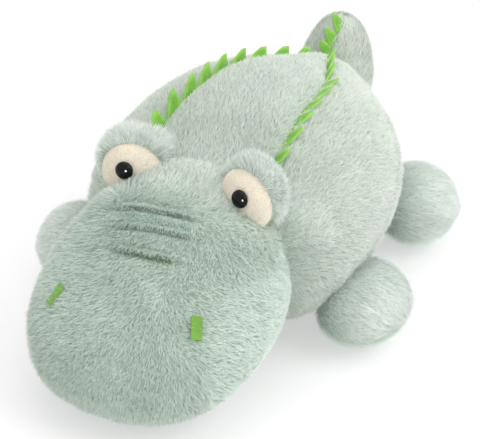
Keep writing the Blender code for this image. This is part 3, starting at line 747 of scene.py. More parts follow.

# The nap is combed to the tail and down the flanks, short along the seams, laid flat at the join,
# and painted lighter on the flank ridges and darker beside them: painted light and painted shade
normals = normals_of(mesh)
down = -PILE_FALL * np.abs(normals[:, 0])
comb = np.stack([np.zeros(len(points)), np.ones(len(points)), down], 1)
ridge_gap = nearest_line(points, flank_seams)
ridge = fall_off(ridge_gap, FLANK_RIDGE_WIDTH)
valley = fall_off(ridge_gap, 2 * FLANK_RIDGE_WIDTH) - ridge
pile = 1 - SEAM_PILE_CUT * fall_off(nearest_line(points, back_seams), SEAM_PILE_REACH)
set_nap(mesh, comb, pile * (1 - RIDGE_PILE_CUT * ridge), PILE_LIFT - JOIN_LAY * join_band(points),
        off_table(normals, UNDERSIDE_BARE), 1 + RIDGE_PAINTED_LIGHT * (ridge - VALLEY_PAINTED_SHADE * valley))
body_skin = put_object("body_skin", mesh, mint_backing)
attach(body_skin, "trunk")
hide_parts("body")
for name, seed, mask in (("body_nap_left", 11, points[:, 0] > NAP_SPLIT_X),
                         ("body_nap_middle", 12, np.abs(points[:, 0]) <= NAP_SPLIT_X),
                         ("body_nap_right", 13, points[:, 0] < -NAP_SPLIT_X)):
    nap = grow_nap(name, mesh, mint_pile, PILE_DENSITY, PILE_LENGTH, PILE_WIDTH,
                   TUFT_SIZE, TUFT_PULL, PILE_STRAY, seed, mask)
    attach(nap, "trunk")


# Head
# One broad stuffed muzzle of the same plush, sewn to the body all round. A seam runs down from
# each nostril, and three tucks lie across the muzzle. The nap turns round a whorl on its left.
HEAD_LENGTH = 0.1945
HEAD_FRONT_Y = -0.2150
HEAD_HALF_WIDTH = 0.0905
HEAD_HEIGHT = 0.143
HEAD_SHARES = ((0, 0.05, 0.20, 0.42, 0.66, 0.86, 1), (0, 0.57, 0.91, 1.02, 1, 0.82, 0),
               (0.32, 0.47, 0.65, 0.84, 0.97, 0.99, 0.75), (0.32, 0.09, 0.01, 0, 0, 0.06, 0.75))
HEAD_VOXEL = 0.0040
HEAD_SEAMS = (((0.0532, -0.1557, 0.0970), (0.0583, -0.1635, 0.0870), (0.0646, -0.1724, 0.0779),
               (0.0685, -0.1796, 0.0665), (0.0709, -0.1843, 0.0527), (0.0711, -0.1849, 0.0330),
               (0.068, -0.181, 0.012)),
              ((-0.0557, -0.1643, 0.0899), (-0.0545, -0.1740, 0.0840), (-0.0550, -0.1822, 0.0759),
               (-0.0591, -0.1862, 0.0677), (-0.0624, -0.1885, 0.0608), (-0.065, -0.190, 0.040),
               (-0.064, -0.186, 0.014)))
TUCKS = (((-0.0481, -0.1054, 0.1231), (-0.0275, -0.1035, 0.1294), (-0.0067, -0.1026, 0.1318),
          (0.0091, -0.1009, 0.1323), (0.0262, -0.0988, 0.1312)),
         ((-0.0375, -0.1216, 0.1202), (-0.0223, -0.1196, 0.1238), (-0.0025, -0.1174, 0.1262),
          (0.0169, -0.1149, 0.1265), (0.0290, -0.1129, 0.1257)),
         ((-0.0312, -0.1380, 0.1136), (-0.0120, -0.1375, 0.1160), (0.0079, -0.1358, 0.1171),
          (0.0294, -0.1315, 0.1173)))
TUCK_DEPTH = 0.0046
TUCK_WIDTH = 0.0013
TUCK_SWELL = 0.0018
# A tuck fades in and out over one part in five of its length
TUCK_FADE = 5
TUCK_BARED = 0.95
TUCK_BARED_WIDTH = 0.0007
# Painted shade along each tuck line: how much darker, and over what width
TUCK_PAINTED_SHADE = 0.72
TUCK_PAINTED_SHADE_WIDTH = 0.0009
TUCK_PILE_CUT = 0.3
TUCK_PILE_REACH = 0.0025
TUCK_END = ((0.0275, -0.0995, 0.1310), (0.0300, -0.1129, 0.1257), (0.0294, -0.1315, 0.1173))
TUCK_END_DEPTH = 0.0012
HEAD_FURROW_DEPTH = 0.0013
NOSE_FULLER = ((-0.034, -0.205, 0.048), 0.030, 0.0040)
BROW_FULLER = ((-0.042, -0.064, 0.139), 0.013, 0.0018)
HEAD_PILE_ROOT = "#B9D1C1"
HEAD_PILE_TIP = "#F6FDF7"
HEAD_PILE_DENSITY = PILE_DENSITY * 1.3
HEAD_NAP_REAR_Y = -0.033
HEAD_NAP_REAR_FADE = 0.006
# Painted light on the cheek past the left seam
CHEEK_PAINTED_LIGHT = 0.03
CHEEK_LAY = 0.15
CHEEK_TOP = 0.108
CHEEK_FADE = 0.012
SEAM_FADE = 0.002
SMOOTH_SIDE = (0.078, -0.150, 0.075)
SMOOTH_SIDE_REACH = 0.022
SMOOTH_SIDE_LAY = 0.15
# Painted shade on the low front inside the left seam
LOW_FRONT_PAINTED_SHADE = 0.09
LOW_FRONT_TOP = 0.085
LOW_FRONT_FADE = 0.04
CHIN_TOP = 0.09
CHIN_FADE = 0.03
CHIN_RAISE = 0.25
CHIN_PILE_CUT = 0.25
# Painted light on the crown behind the brow
CROWN_PAINTED_LIGHT = 0.08
CROWN_FRONT_Y = -0.102
CROWN_FRONT_FADE = 0.03
CROWN_SIDE_FADE = 0.02
COMB_REACH = 0.018
WHORL_SHARE = 0.4
WHORL_REACH = 0.018
WHORL = (0.0272, -0.1584, 0.1021)
# Places on the head and the way in which the nap is brushed there
COMB_GUIDES = (
    ((0.00, -0.060, 0.140), (0.0, 1.0, 0.1)), ((0.00, -0.102, 0.132), (0.0, -1.0, -0.3)),
    ((0.022, -0.062, 0.140), (0.2, 1.0, 0.1)), ((-0.028, -0.062, 0.140), (-0.2, 1.0, 0.1)),
    ((0.00, -0.076, 0.138), (0.1, 1.0, 0.1)), ((0.03, -0.076, 0.136), (0.4, 1.0, 0.0)),
    ((-0.025, -0.078, 0.136), (0.2, 1.0, 0.0)), ((0.00, -0.093, 0.135), (0.9, 0.3, -0.1)),
    ((-0.025, -0.095, 0.133), (0.8, 0.3, -0.1)), ((0.03, -0.093, 0.134), (0.9, 0.2, -0.1)),
    ((-0.03, -0.120, 0.122), (-0.15, -1.0, -0.4)), ((0.03, -0.115, 0.125), (0.1, -1.0, -0.4)),
    ((0.00, -0.140, 0.114), (0.0, -1.0, -0.5)), ((0.06, -0.100, 0.118), (0.6, -0.6, -0.4)),
    ((-0.06, -0.110, 0.112), (-0.6, -0.6, -0.4)), ((0.085, -0.110, 0.080), (0.3, 0.5, -0.6)),
    ((-0.085, -0.110, 0.080), (-0.3, -0.2, -0.7)), ((0.075, -0.160, 0.085), (0.8, 0.5, -0.3)),
    ((0.080, -0.165, 0.050), (0.6, 0.6, -0.3)), ((-0.060, -0.160, 0.092), (-0.8, -0.4, -0.4)),
    ((-0.075, -0.160, 0.060), (-0.4, -0.2, -0.8)), ((-0.03, -0.190, 0.075), (-0.5, -0.5, -0.6)),
    ((0.00, -0.205, 0.060), (0.0, -0.4, -0.9)), ((0.04, -0.195, 0.060), (0.2, -0.3, -0.9)),
    ((0.00, -0.212, 0.030), (0.0, -0.1, -1.0)), ((0.06, -0.190, 0.025), (0.2, 0.0, -1.0)),
    ((-0.06, -0.190, 0.025), (-0.2, 0.0, -1.0)))


def combed(points, guides, reach):
    """Direction at each point, blended from guide directions nearby."""
    total = np.zeros_like(points)
    for place, direction in guides:
        direction = np.array(direction) / np.linalg.norm(direction)
        gap = np.linalg.norm(points - np.array(place), axis=1)
        total += direction / (gap ** 2 + reach ** 2)[:, None] ** 2
    return total / np.linalg.norm(total, axis=1)[:, None]


def tuck(mesh, line, depth, width, swell):
    """Folds the skin in along a line: a dark valley, with the skin behind it swelling over it."""
    points, normals = points_of(mesh), normals_of(mesh)
    gap, share = to_line(points, line)
    line_y = np.interp(points[:, 0], [p[0] for p in line], [p[1] for p in line])
    ahead = np.where(points[:, 1] < line_y, gap, -gap)
    fade = np.clip(share * TUCK_FADE, 0, 1) * np.clip((1 - share) * TUCK_FADE, 0, 1)
    fade = fade * fade * (3 - 2 * fade)
    valley = fall_off(ahead - 0.6 * width, width)
    ridge = fall_off(ahead + 2.6 * width, 2.2 * width)
    lift = (swell * ridge - depth * valley) * fade
    over = np.stack([0 * lift, -swell * ridge * fade * 0.6, 0 * lift], 1)
    set_points(mesh, points + normals * lift[:, None] + over)


rings = lying_rings(HEAD_FRONT_Y, HEAD_LENGTH, HEAD_HALF_WIDTH, HEAD_HEIGHT, HEAD_SHARES)
mesh = even_form("head_skin", rings, HEAD_VOXEL)
seam_gap = nearest_line(points_of(mesh), HEAD_SEAMS + TUCKS)
mesh = puffed("head_skin", mesh, seam_gap, PUFF_CAP, levels=2)
for line in HEAD_SEAMS:
    furrow(mesh, line, HEAD_FURROW_DEPTH, FURROW_WIDTH)
plain_head_tree = surface_of(mesh)
for line in TUCKS:
    tuck(mesh, line, TUCK_DEPTH, TUCK_WIDTH, TUCK_SWELL)
furrow(mesh, TUCK_END, TUCK_END_DEPTH, TUCK_WIDTH)
for fuller in (CROWN_JOIN, NOSE_FULLER, BROW_FULLER):
    swell(mesh, *fuller)
points = set_down(mesh)
mesh.shade_smooth()

# The nap follows the guides and turns round the whorl
normals = normals_of(mesh)
comb = combed(points, COMB_GUIDES, COMB_REACH)
from_whorl = points - np.array(WHORL)
whorl_gap = np.linalg.norm(from_whorl, axis=1)
whorl_share = WHORL_SHARE * fall_off(whorl_gap, WHORL_REACH)[:, None]
comb = comb * (1 - whorl_share) + from_whorl / np.maximum(whorl_gap, 1e-6)[:, None] * whorl_share

# Parts of the head: the chin, the smooth side, the cheek past the left seam, the low front inside
# it, and the crown behind the brow, which has the body's pile
chin = np.clip((-normals[:, 1] - 0.55) * 3, 0, 1) * rising(CHIN_TOP - points[:, 2], CHIN_FADE)
smooth_side = fall_off(np.linalg.norm(points - np.array(SMOOTH_SIDE), axis=1), SMOOTH_SIDE_REACH)
seam_heights, seam_xs = [p[2] for p in HEAD_SEAMS[0]][::-1], [p[0] for p in HEAD_SEAMS[0]][::-1]
past_seam = points[:, 0] - np.interp(points[:, 2], seam_heights, seam_xs)
cheek = rising(past_seam, SEAM_FADE) * rising(CHEEK_TOP - points[:, 2], CHEEK_FADE)
low_front = rising(-past_seam, SEAM_FADE) * rising(LOW_FRONT_TOP - points[:, 2], LOW_FRONT_FADE)
crown = (rising(points[:, 1] - CROWN_FRONT_Y, CROWN_FRONT_FADE)
         * rising(points[:, 2] - BACK_LOW, CROWN_SIDE_FADE))

tuck_gap = nearest_line(points, TUCKS)
lift = (PILE_LIFT + CHIN_RAISE * chin - SMOOTH_SIDE_LAY * smooth_side - CHEEK_LAY * cheek
        - JOIN_LAY * join_band(points))
bared = 1 - TUCK_BARED * fall_off(tuck_gap, TUCK_BARED_WIDTH)
behind = rising(HEAD_NAP_REAR_Y - points[:, 1], HEAD_NAP_REAR_FADE)
# Painted shade along the tucks and on the low front, and painted light on the cheek and the crown
painted_light = 1 - TUCK_PAINTED_SHADE * fall_off(tuck_gap, TUCK_PAINTED_SHADE_WIDTH)
painted_light *= 1 + CHEEK_PAINTED_LIGHT * cheek - LOW_FRONT_PAINTED_SHADE * low_front + CROWN_PAINTED_LIGHT * crown
pile = (1 - CHIN_PILE_CUT * chin) * (1 - TUCK_PILE_CUT * fall_off(tuck_gap, TUCK_PILE_REACH))
set_nap(mesh, comb, pile, lift, off_table(normals, UNDERSIDE_BARE) * behind * bared, painted_light)
# The same yarn, brushed up rougher over the muzzle: greener at the roots and more streaked
head_pile = plush_pile_material("mint_plush_head_pile", HEAD_PILE_ROOT, HEAD_PILE_TIP)
head_skin = put_object("head_skin", mesh, mint_backing)
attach(head_skin, "trunk")
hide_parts("head")
for name, seed, mask, pile_material in (
        ("head_nap_left", 21, (points[:, 0] > 0) * (1 - crown), head_pile),
        ("head_nap_right", 22, (points[:, 0] <= 0) * (1 - crown), head_pile),
        ("head_nap_crown", 23, crown, mint_pile)):
    nap = grow_nap(name, mesh, pile_material, HEAD_PILE_DENSITY, PILE_LENGTH, PILE_WIDTH,
                   TUFT_SIZE, TUFT_PULL, PILE_STRAY, seed, mask)
    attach(nap, "trunk")


# Tail
# A stubby stuffed lobe of two plush panels, sewn to the rear end and curled up. Its nap runs to
# the tip, and lies short along the seam on top.
TAIL_ROOT = Vector((0, 0.13804, 0.06804))
TAIL_LENGTH = 0.112
TAIL_RADIUS = 0.0285
TAIL_ROOT_PITCH = math.radians(25)
TAIL_TIP_PITCH = math.radians(82)
TAIL_SHARES = ((0, 0.13, 0.40, 0.67, 0.91, 1), (0, 1.12, 1.18, 1.06, 0.72, 0))
# The tip leans over: from which height, over what rise, and how far
TAIL_LEAN = (0.110, 0.055, 0.0060)
TAIL_CURL = TAIL_TIP_PITCH - TAIL_ROOT_PITCH
TAIL_HINGE_SHARE = 0.42
TAIL_PATH_STEPS = 24
TAIL_VOXEL = 0.0032
TAIL_PUFF_SHARE = 0.6
TAIL_ROOT_COLOUR = "#D3DED3"
TAIL_TIP_COLOUR = "#FAFCF6"
TAIL_PILE_DENSITY = PILE_DENSITY * 1.3
TAIL_PILE_SHARE = 0.9
TAIL_PILE_LIFT = 0.5
TAIL_TUFT_PULL = 0.2
TAIL_STRAY = 0.35
TAIL_SEAM_CUT = 0.4
TAIL_SEAM_REACH = 0.0055
# The comb follows the tail in this many steps. The nap starts after the second and is full at
# the fourth
TAIL_COMB_STEPS = 12
TAIL_BARE_STEPS = 2


def tail_path(share):
    """Centre of the tail and its pitch at a share of its length."""
    point = TAIL_ROOT.copy()
    for k in range(TAIL_PATH_STEPS):
        pitch = TAIL_ROOT_PITCH + TAIL_CURL * share * (k + 0.5) / TAIL_PATH_STEPS
        along = Vector((0, math.cos(pitch), math.sin(pitch)))
        point += along * TAIL_LENGTH * share / TAIL_PATH_STEPS
    return point, TAIL_ROOT_PITCH + TAIL_CURL * share


rings = []
for station, radius in zip(*TAIL_SHARES):
    centre, pitch = tail_path(station)
    size = radius * TAIL_RADIUS
    up = Vector((0, -math.sin(pitch), math.cos(pitch)))
    ring = plump_section(centre, Vector((1, 0, 0)), up, size, size, size)
    rings.append(ring if radius else [centre])
mesh = even_form("tail_skin", close_rings(rings), TAIL_VOXEL)
seam_gap = np.abs(points_of(mesh)[:, 0])
mesh = puffed("tail_skin", mesh, seam_gap, PUFF_CAP * TAIL_PUFF_SHARE)
points = points_of(mesh)
lean_from, lean_over, lean = TAIL_LEAN
points[:, 0] -= lean * rising(points[:, 2] - lean_from, lean_over)
set_points(mesh, points)
mesh.shade_smooth()

points = points_of(mesh)
steps = [tail_path(k / TAIL_COMB_STEPS) for k in range(TAIL_COMB_STEPS + 1)]
centres = np.array([p for p, _ in steps])
nearest = np.argmin(np.linalg.norm(points[:, None] - centres[None], axis=2), axis=1)
comb = np.array([(0, math.cos(a), math.sin(a)) for _, a in steps])[nearest]
ups = np.array([(0, -math.sin(a), math.cos(a)) for _, a in steps])[nearest]
on_top = ((points - centres[nearest]) * ups).sum(1) > 0
seam_gap = np.where(on_top, np.abs(points[:, 0]), 1)
pile = TAIL_PILE_SHARE - TAIL_SEAM_CUT * fall_off(seam_gap, TAIL_SEAM_REACH)
set_nap(mesh, comb, pile, TAIL_PILE_LIFT, rising(nearest - TAIL_BARE_STEPS, TAIL_BARE_STEPS))
# The same yarn as the body's, painted a shade lighter to the eye: painted light, for the light that
# the tail catches
mint_tail_pile = plush_pile_material("mint_plush_tail_pile_painted_light", TAIL_ROOT_COLOUR, TAIL_TIP_COLOUR,
                                     BODY_PILE_UNEVEN)
tail_nap = grow_nap("tail_nap", mesh, mint_tail_pile, TAIL_PILE_DENSITY, PILE_LENGTH, PILE_WIDTH,
                    TUFT_SIZE, TAIL_TUFT_PULL, TAIL_STRAY, 31)
tail_skin = put_object("tail_skin", mesh, mint_backing)
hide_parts("tail")
hinge, hinge_pitch = tail_path(TAIL_HINGE_SHARE)
for item in (tail_skin, tail_nap):
    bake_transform(item)


# Feet
# Four round stuffed puffs of the same plush, each sewn to the flank by a narrow root, so that the
# nap spreads outwards from there.
FOOT_LENGTH = 0.075
FOOT_HALF_WIDTH = 0.0415
FOOT_HALF_THICKNESS = 0.031
FOOT_ROOT_REACH = 0.006
FOOT_CENTRE_Z = 0.0313
FOOT_SHARES = ((0, 0.08, 0.30, 0.58, 0.86, 1), (0, 0.50, 0.93, 1.02, 0.76, 0),
               (0, 0.46, 0.92, 1.02, 0.74, 0))
FOOT_VOXEL = 0.0034
FOOT_PUFF_SHARE = 0.6
FOOT_ROOT_SEAM = 0.004
FOOT_PILE_LENGTH = 0.0072
FOOT_PILE_DENSITY = PILE_DENSITY * 1.2
FOOT_PILE_LIFT = 0.45
FOOT_TUFT_PULL = 0.25
FOOT_STRAY = 0.3
FOOT_COMB_FROM = (-0.030, 0, 0)
FOOT_BARE_REACH = 0.004
FOOT_BARE_FADE = 0.01
FOOT_UNDERSIDE_BARE = 0.2
FOOT_ROOT_COLOUR = "#E9F1EB"
FOOT_TIP_COLOUR = "#FDFFFD"
FOOT_THROUGH = 0.45
# Painted light: the feet's pile is painted up to this much lighter towards the bottom, over this
# height
FOOT_LOW_PAINTED_LIGHT = 0.18
FOOT_LOW_FADE = 0.025
# Name, place of the root on the flank, and the way in which the foot points
FEET = (("front_left", 0.08501, -0.00812, math.radians(-4)),
        ("front_right", -0.08702, -0.02802, math.radians(180 + 31)),
        ("rear_left", 0.06698, 0.12494, math.radians(20)),
        ("rear_right", -0.06698, 0.12494, math.radians(180 - 20)))

rings = []
for station, width, thickness in zip(*FOOT_SHARES):
    centre = Vector((FOOT_LENGTH * station - FOOT_ROOT_REACH, 0, 0))
    half = thickness * FOOT_HALF_THICKNESS
    ring = plump_section(centre, Vector((0, 1, 0)), Vector((0, 0, 1)),
                         width * FOOT_HALF_WIDTH, half, half)
    rings.append(ring if width else [centre])
foot_mesh = even_form("foot_skin", close_rings(rings), FOOT_VOXEL)
seam_gap = np.abs(points_of(foot_mesh)[:, 0]) + FOOT_ROOT_SEAM
foot_mesh = puffed("foot_skin", foot_mesh, seam_gap, PUFF_CAP * FOOT_PUFF_SHARE)
foot_mesh.shade_smooth()
points = points_of(foot_mesh)
grown = (rising(points[:, 0] - FOOT_BARE_REACH, FOOT_BARE_FADE)
         * off_table(normals_of(foot_mesh), FOOT_UNDERSIDE_BARE))
set_nap(foot_mesh, points - np.array(FOOT_COMB_FROM), 1.0, FOOT_PILE_LIFT, grown,
        1 + FOOT_LOW_PAINTED_LIGHT * rising(-points[:, 2], FOOT_LOW_FADE))
# Fluffier than the body, with light let through, so that the feet read as soft puffs. The same
# plush is painted paler here, and lighter still towards the bottom: painted light, for the light
# from the table
foot_pile = plush_pile_material("mint_plush_foot_pile_painted_light", FOOT_ROOT_COLOUR, FOOT_TIP_COLOUR,
                                BODY_PILE_UNEVEN, FOOT_THROUGH)
for seed, (name, x, y, turn) in enumerate(FEET, 41):
    place = Matrix.Translation((x, y, FOOT_CENTRE_Z)) @ Matrix.Rotation(turn, 4, "Z")
    mesh = foot_mesh.copy()
    mesh.transform(place)
    comb = np.empty(len(mesh.vertices) * 3)
    mesh.attributes["comb"].data.foreach_get("vector", comb)
    comb = comb.reshape(-1, 3) @ np.array(place.to_3x3()).T
    mesh.attributes["comb"].data.foreach_set("vector", comb.ravel())
    set_down(mesh)
    nap = grow_nap(f"foot_{name}_nap", mesh, foot_pile, FOOT_PILE_DENSITY, FOOT_PILE_LENGTH,
                   PILE_WIDTH, TUFT_SIZE, FOOT_TUFT_PULL, FOOT_STRAY, seed)
    skin = put_object(f"foot_{name}_skin", mesh, mint_backing)
    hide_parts(f"foot_{name}")
    for item in (skin, nap):
        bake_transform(item)


# Eyelids and eye faces
# Each eye is a stuffed half dome on the crown: a lid of long fluffy plush behind, and a face of
# fine cream plush in front. Both are sewn down into the crown, so only their upper parts show.
EYE_PLACES = {"left": (0.04453, -0.0636, 0.13577), "right": (-0.05439, -0.0619, 0.12977)}
EYE_TURN = (math.radians(-6), math.radians(20), math.radians(-17))
LID_RADII = (0.0253, 0.0120, 0.0258)
LID_OFFSET = (-0.0016, 0.0075, 0.0042)
LID_PILE_LENGTH = 0.0076
LID_PILE_DENSITY = PILE_DENSITY * 2.0
LID_PILE_LIFT = 0.55
LID_EDGE_LIFT = 0.8
LID_TUFT_SIZE = 0.004
LID_STRAY = 0.4
LID_COMB_FORWARD = -0.25
LID_SUNK = 0.016
LID_SUNK_FADE = 0.006
LID_FACE_EDGE = 0.99
LID_FACE_FADE = 0.05
# On its inner side the right lid has longer hair, and the left lid has shorter hair
WEDGE_ANGLE = math.radians(28)
WEDGE_HALF_ANGLE = math.radians(20)
WEDGE_EXTRA = 0.9
WEDGE_CUT = 0.45
CREAM_RADII = (0.0229, 0.0100, 0.0222)
CREAM_GROWTH = 0.0006
CREAM_PILE_LENGTH = 0.0009
CREAM_PILE_DENSITY = PILE_DENSITY * 11
CREAM_PILE_WIDTH = PILE_WIDTH * 0.4
CREAM_PILE_LIFT = 0.45
CREAM_TUFT_SIZE = 0.002
CREAM_TUFT_PULL = 0.2
CREAM_SUNK = 0.014
CREAM_BACK = 0.003
CREAM_FADE = 0.004
LID_ROOT_COLOUR = "#E4EFE8"
LID_TIP_COLOUR = "#FDFFFC"
CREAM_ROOT_COLOUR = "#FFF8E9"
CREAM_TIP_COLOUR = "#FFFCF2"
CREAM_BACKING = "#FFF7E8"

# Long fluffy lid hair, almost white, which lets light through, so that its edge looks soft
lid_pile = plush_pile_material("fluffy_lid_pile", LID_ROOT_COLOUR, LID_TIP_COLOUR, through=0.4)
# Fine cream velour, warm and nearly even, over a backing of its own colour
cream_pile = plush_pile_material("cream_velour_pile", CREAM_ROOT_COLOUR, CREAM_TIP_COLOUR)
cream_backing = plush_backing_material("cream_velour_backing", CREAM_BACKING)


def eye_frame(side, label):
    """Where an eye stands on the crown, with the way in which it looks as -Y."""
    turn = Matrix.Rotation(side * EYE_TURN[2], 4, "Z") @ Matrix.Rotation(side * EYE_TURN[1], 4, "Y")
    return Matrix.Translation(EYE_PLACES[label]) @ turn @ Matrix.Rotation(EYE_TURN[0], 4, "X")


def dome(name, radii, offset, place, grow):
    """Closed stuffed dome on an eye's frame."""
    bm = bmesh.new()
    bmesh.ops.create_icosphere(bm, subdivisions=5, radius=1)
    bmesh.ops.scale(bm, vec=[r + grow for r in radii], verts=bm.verts)
    bmesh.ops.translate(bm, vec=offset, verts=bm.verts)
    bmesh.ops.transform(bm, matrix=place, verts=bm.verts)
    mesh = bpy.data.meshes.new(name)
    bm.to_mesh(mesh)
    bm.free()
    mesh.shade_smooth()
    return mesh


for seed, (side, label) in enumerate(((1, "left"), (-1, "right")), 51):
    place = eye_frame(side, label)
    axes = np.array(place.to_3x3())
    offset = Vector((side * LID_OFFSET[0], *LID_OFFSET[1:]))
    mesh = dome(f"eyelid_{label}_skin", LID_RADII, offset, place, 0.0)
    points, normals = points_of(mesh), normals_of(mesh)
    local = (points - np.array(place.translation)) @ axes
    radial = local * np.array((1, 0, 1))
    radial /= np.maximum(np.linalg.norm(radial, axis=1), 1e-6)[:, None]
    comb = radial @ axes.T + axes[:, 1] * LID_COMB_FORWARD
    shown = rising(local[:, 2] + LID_SUNK, LID_SUNK_FADE)
    cream_edge = np.hypot(local[:, 0] / CREAM_RADII[0], local[:, 2] / CREAM_RADII[2])
    past_face = rising(cream_edge - LID_FACE_EDGE, LID_FACE_FADE)
    shown *= np.where(local[:, 1] < offset.y, past_face, 1)
    inner_angle = np.arctan2(local[:, 2], -side * local[:, 0])
    wedge = fall_off(inner_angle - WEDGE_ANGLE, WEDGE_HALF_ANGLE)
    pile = 1 + wedge * WEDGE_EXTRA if side < 0 else 1 - WEDGE_CUT * wedge
    at_edge = np.abs((radial @ axes.T * normals).sum(1)) ** 3
    set_nap(mesh, comb, pile, LID_PILE_LIFT + LID_EDGE_LIFT * at_edge, shown)
    nap = grow_nap(f"eyelid_{label}_nap", mesh, lid_pile, LID_PILE_DENSITY, LID_PILE_LENGTH,
                   PILE_WIDTH, LID_TUFT_SIZE, TUFT_PULL, LID_STRAY, seed)
    skin = put_object(f"eyelid_{label}_skin", mesh, mint_backing)
    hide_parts(f"eyelid_{label}")
    for item in (skin, nap):
        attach(item, "trunk")
    mesh = dome(f"eye_face_{label}_skin", CREAM_RADII, (0, 0, 0), place, CREAM_GROWTH)
    points = points_of(mesh)
    local = (points - np.array(place.translation)) @ axes
    shown = (rising(local[:, 2] + CREAM_SUNK, CREAM_FADE)
             * rising(CREAM_BACK - local[:, 1], CREAM_FADE))
    comb = np.tile(-axes[:, 2], (len(points), 1))
    set_nap(mesh, comb, 1.0, CREAM_PILE_LIFT, shown)
    nap = grow_nap(f"eye_face_{label}_nap", mesh, cream_pile, CREAM_PILE_DENSITY,
                   CREAM_PILE_LENGTH, CREAM_PILE_WIDTH, CREAM_TUFT_SIZE, CREAM_TUFT_PULL,
                   PILE_STRAY, seed + 10)
    skin = put_object(f"eye_face_{label}_skin", mesh, cream_backing)
    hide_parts(f"eye_face_{label}")
    for item in (skin, nap):
        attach(item, "trunk")


# Safety eyes and lock washers
# Black glossy moulded domes, each on a shank through the cream face. A white washer grips the
# shank inside.
PUPIL_RADIUS = 0.007
PUPIL_DOME = 0.0045
PUPIL_RIM = 0.001
# Below its rim the dome rounds in: to a share of its radius at a share of the rim's height, and
# to a smaller one at its foot
RIM_ROUNDED = 0.985
RIM_ROUNDED_HEIGHT = 0.4
RIM_FOOT = 0.93
PUPIL_DOME_STEPS = 14
PUPIL_TURN_STEPS = 48
PUPIL_ACROSS = 0.0010
PUPIL_UP = 0.0058
SHANK_RADIUS = 0.00225
SHANK_LENGTH = 0.012
PUPIL_STANDOFF = 0.0012
EYE_BLACK = "#0B0E0C"
EYE_IOR = 1.28
WASHER_WHITE = "#E8E8E4"
# Pattern scales: 900 gives unevenness about 1.1 mm across and 1200 gives a grain of 0.8 mm
DUST_SCALE = 900.0
WASHER_GRAIN_SCALE = 1200.0

# Moulded ABS, polished black: a clear round highlight and no texture but faint dust-fine unevenness
eye_black, tree, out = new_material("polished_black_plastic")
place_node = add_node(tree, "ShaderNodeTexCoord", {}, {}).outputs["Object"]
wear = add_node(tree, "ShaderNodeTexNoise", {}, {
    "Vector": place_node, "Scale": DUST_SCALE}).outputs["Fac"]
rough = add_node(tree, "ShaderNodeMapRange", {}, {0: wear, 3: 0.05, 4: 0.11}).outputs[0]
shader = add_node(tree, "ShaderNodeBsdfPrincipled", {}, {
    "Base Color": linear(EYE_BLACK), "Roughness": rough, "IOR": EYE_IOR})
tree.links.new(shader.outputs[0], out.inputs["Surface"])

# Plain moulded plastic, off-white and faintly grained: dull beside the eye
washer_white, tree, out = new_material("moulded_white_plastic")
place_node = add_node(tree, "ShaderNodeTexCoord", {}, {}).outputs["Object"]
grain = add_node(tree, "ShaderNodeTexNoise", {}, {
    "Vector": place_node, "Scale": WASHER_GRAIN_SCALE}).outputs["Fac"]
rough = add_node(tree, "ShaderNodeMapRange", {}, {0: grain, 3: 0.4, 4: 0.55}).outputs[0]
shader = add_node(tree, "ShaderNodeBsdfPrincipled", {}, {
    "Base Color": linear(WASHER_WHITE), "Roughness": rough})
tree.links.new(shader.outputs[0], out.inputs["Surface"])

for side, label in ((1, "left"), (-1, "right")):
    a, b, c = CREAM_RADII
    x, z = side * PUPIL_ACROSS / a, PUPIL_UP / c
    y = -math.sqrt(1 - x * x - z * z)
    seat = Vector((x * a, y * b, z * c))
    out_way = Vector((x / a, y / b, z / c)).normalized()
    place = eye_frame(side, label) @ Matrix.Translation(seat + out_way * PUPIL_STANDOFF)
    place = place @ out_way.to_track_quat("Z", "Y").to_matrix().to_4x4()
    profile = [(PUPIL_RADIUS * math.sin(t), PUPIL_RIM + PUPIL_DOME * math.cos(t))
               for t in np.linspace(0, math.pi / 2, PUPIL_DOME_STEPS)]
    profile += [(PUPIL_RADIUS * RIM_ROUNDED, PUPIL_RIM * RIM_ROUNDED_HEIGHT),
                (PUPIL_RADIUS * RIM_FOOT, 0), (SHANK_RADIUS, 0),
                (SHANK_RADIUS, -SHANK_LENGTH), (0, -SHANK_LENGTH)]
    bm = bmesh.new()
    verts = [bm.verts.new((r, 0, h)) for r, h in profile]
    edges = [bm.edges.new(pair) for pair in zip(verts, verts[1:])]
    bmesh.ops.spin(bm, geom=verts + edges, axis=(0, 0, 1), cent=(0, 0, 0), angle=2 * math.pi,
                   steps=PUPIL_TURN_STEPS)
    bmesh.ops.remove_doubles(bm, verts=bm.verts, dist=0.00001)
    bmesh.ops.recalc_face_normals(bm, faces=bm.faces)
    bmesh.ops.transform(bm, matrix=place, verts=bm.verts)
    mesh = bpy.data.meshes.new(f"glossy_eye_{label}")
    bm.to_mesh(mesh)
    bm.free()
    mesh.shade_smooth()
    glossy_eye = put_object(f"glossy_eye_{label}", mesh, eye_black)
    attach(glossy_eye, "trunk")
    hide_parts(f"safety_eye_{label}")
    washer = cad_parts[f"lock_washer_{label}"]
    washer.data.materials.clear()
    washer.data.materials.append(washer_white)


# Back spikes, tail spikes and nostril tabs
# Stiff leaf-green felt. The spikes are teeth of two strips sewn into the back seams and one on the
# tail, and the nap hides the strip between them. A tab of the same felt, painted darker as painted
# shade, is sewn into each nostril seam.
FELT_FACE = "#6CAA3A"
FELT_EDGE = "#95CC5E"
NOSTRIL_FACE_PAINTED_SHADE = "#76A345"
TOOTH_WIDTH = 0.0240
TOOTH_THICKNESS = 0.0026
TOOTH_RAKE = 0.42
TOOTH_SUNK = 0.0025
TOOTH_CUTS = 3
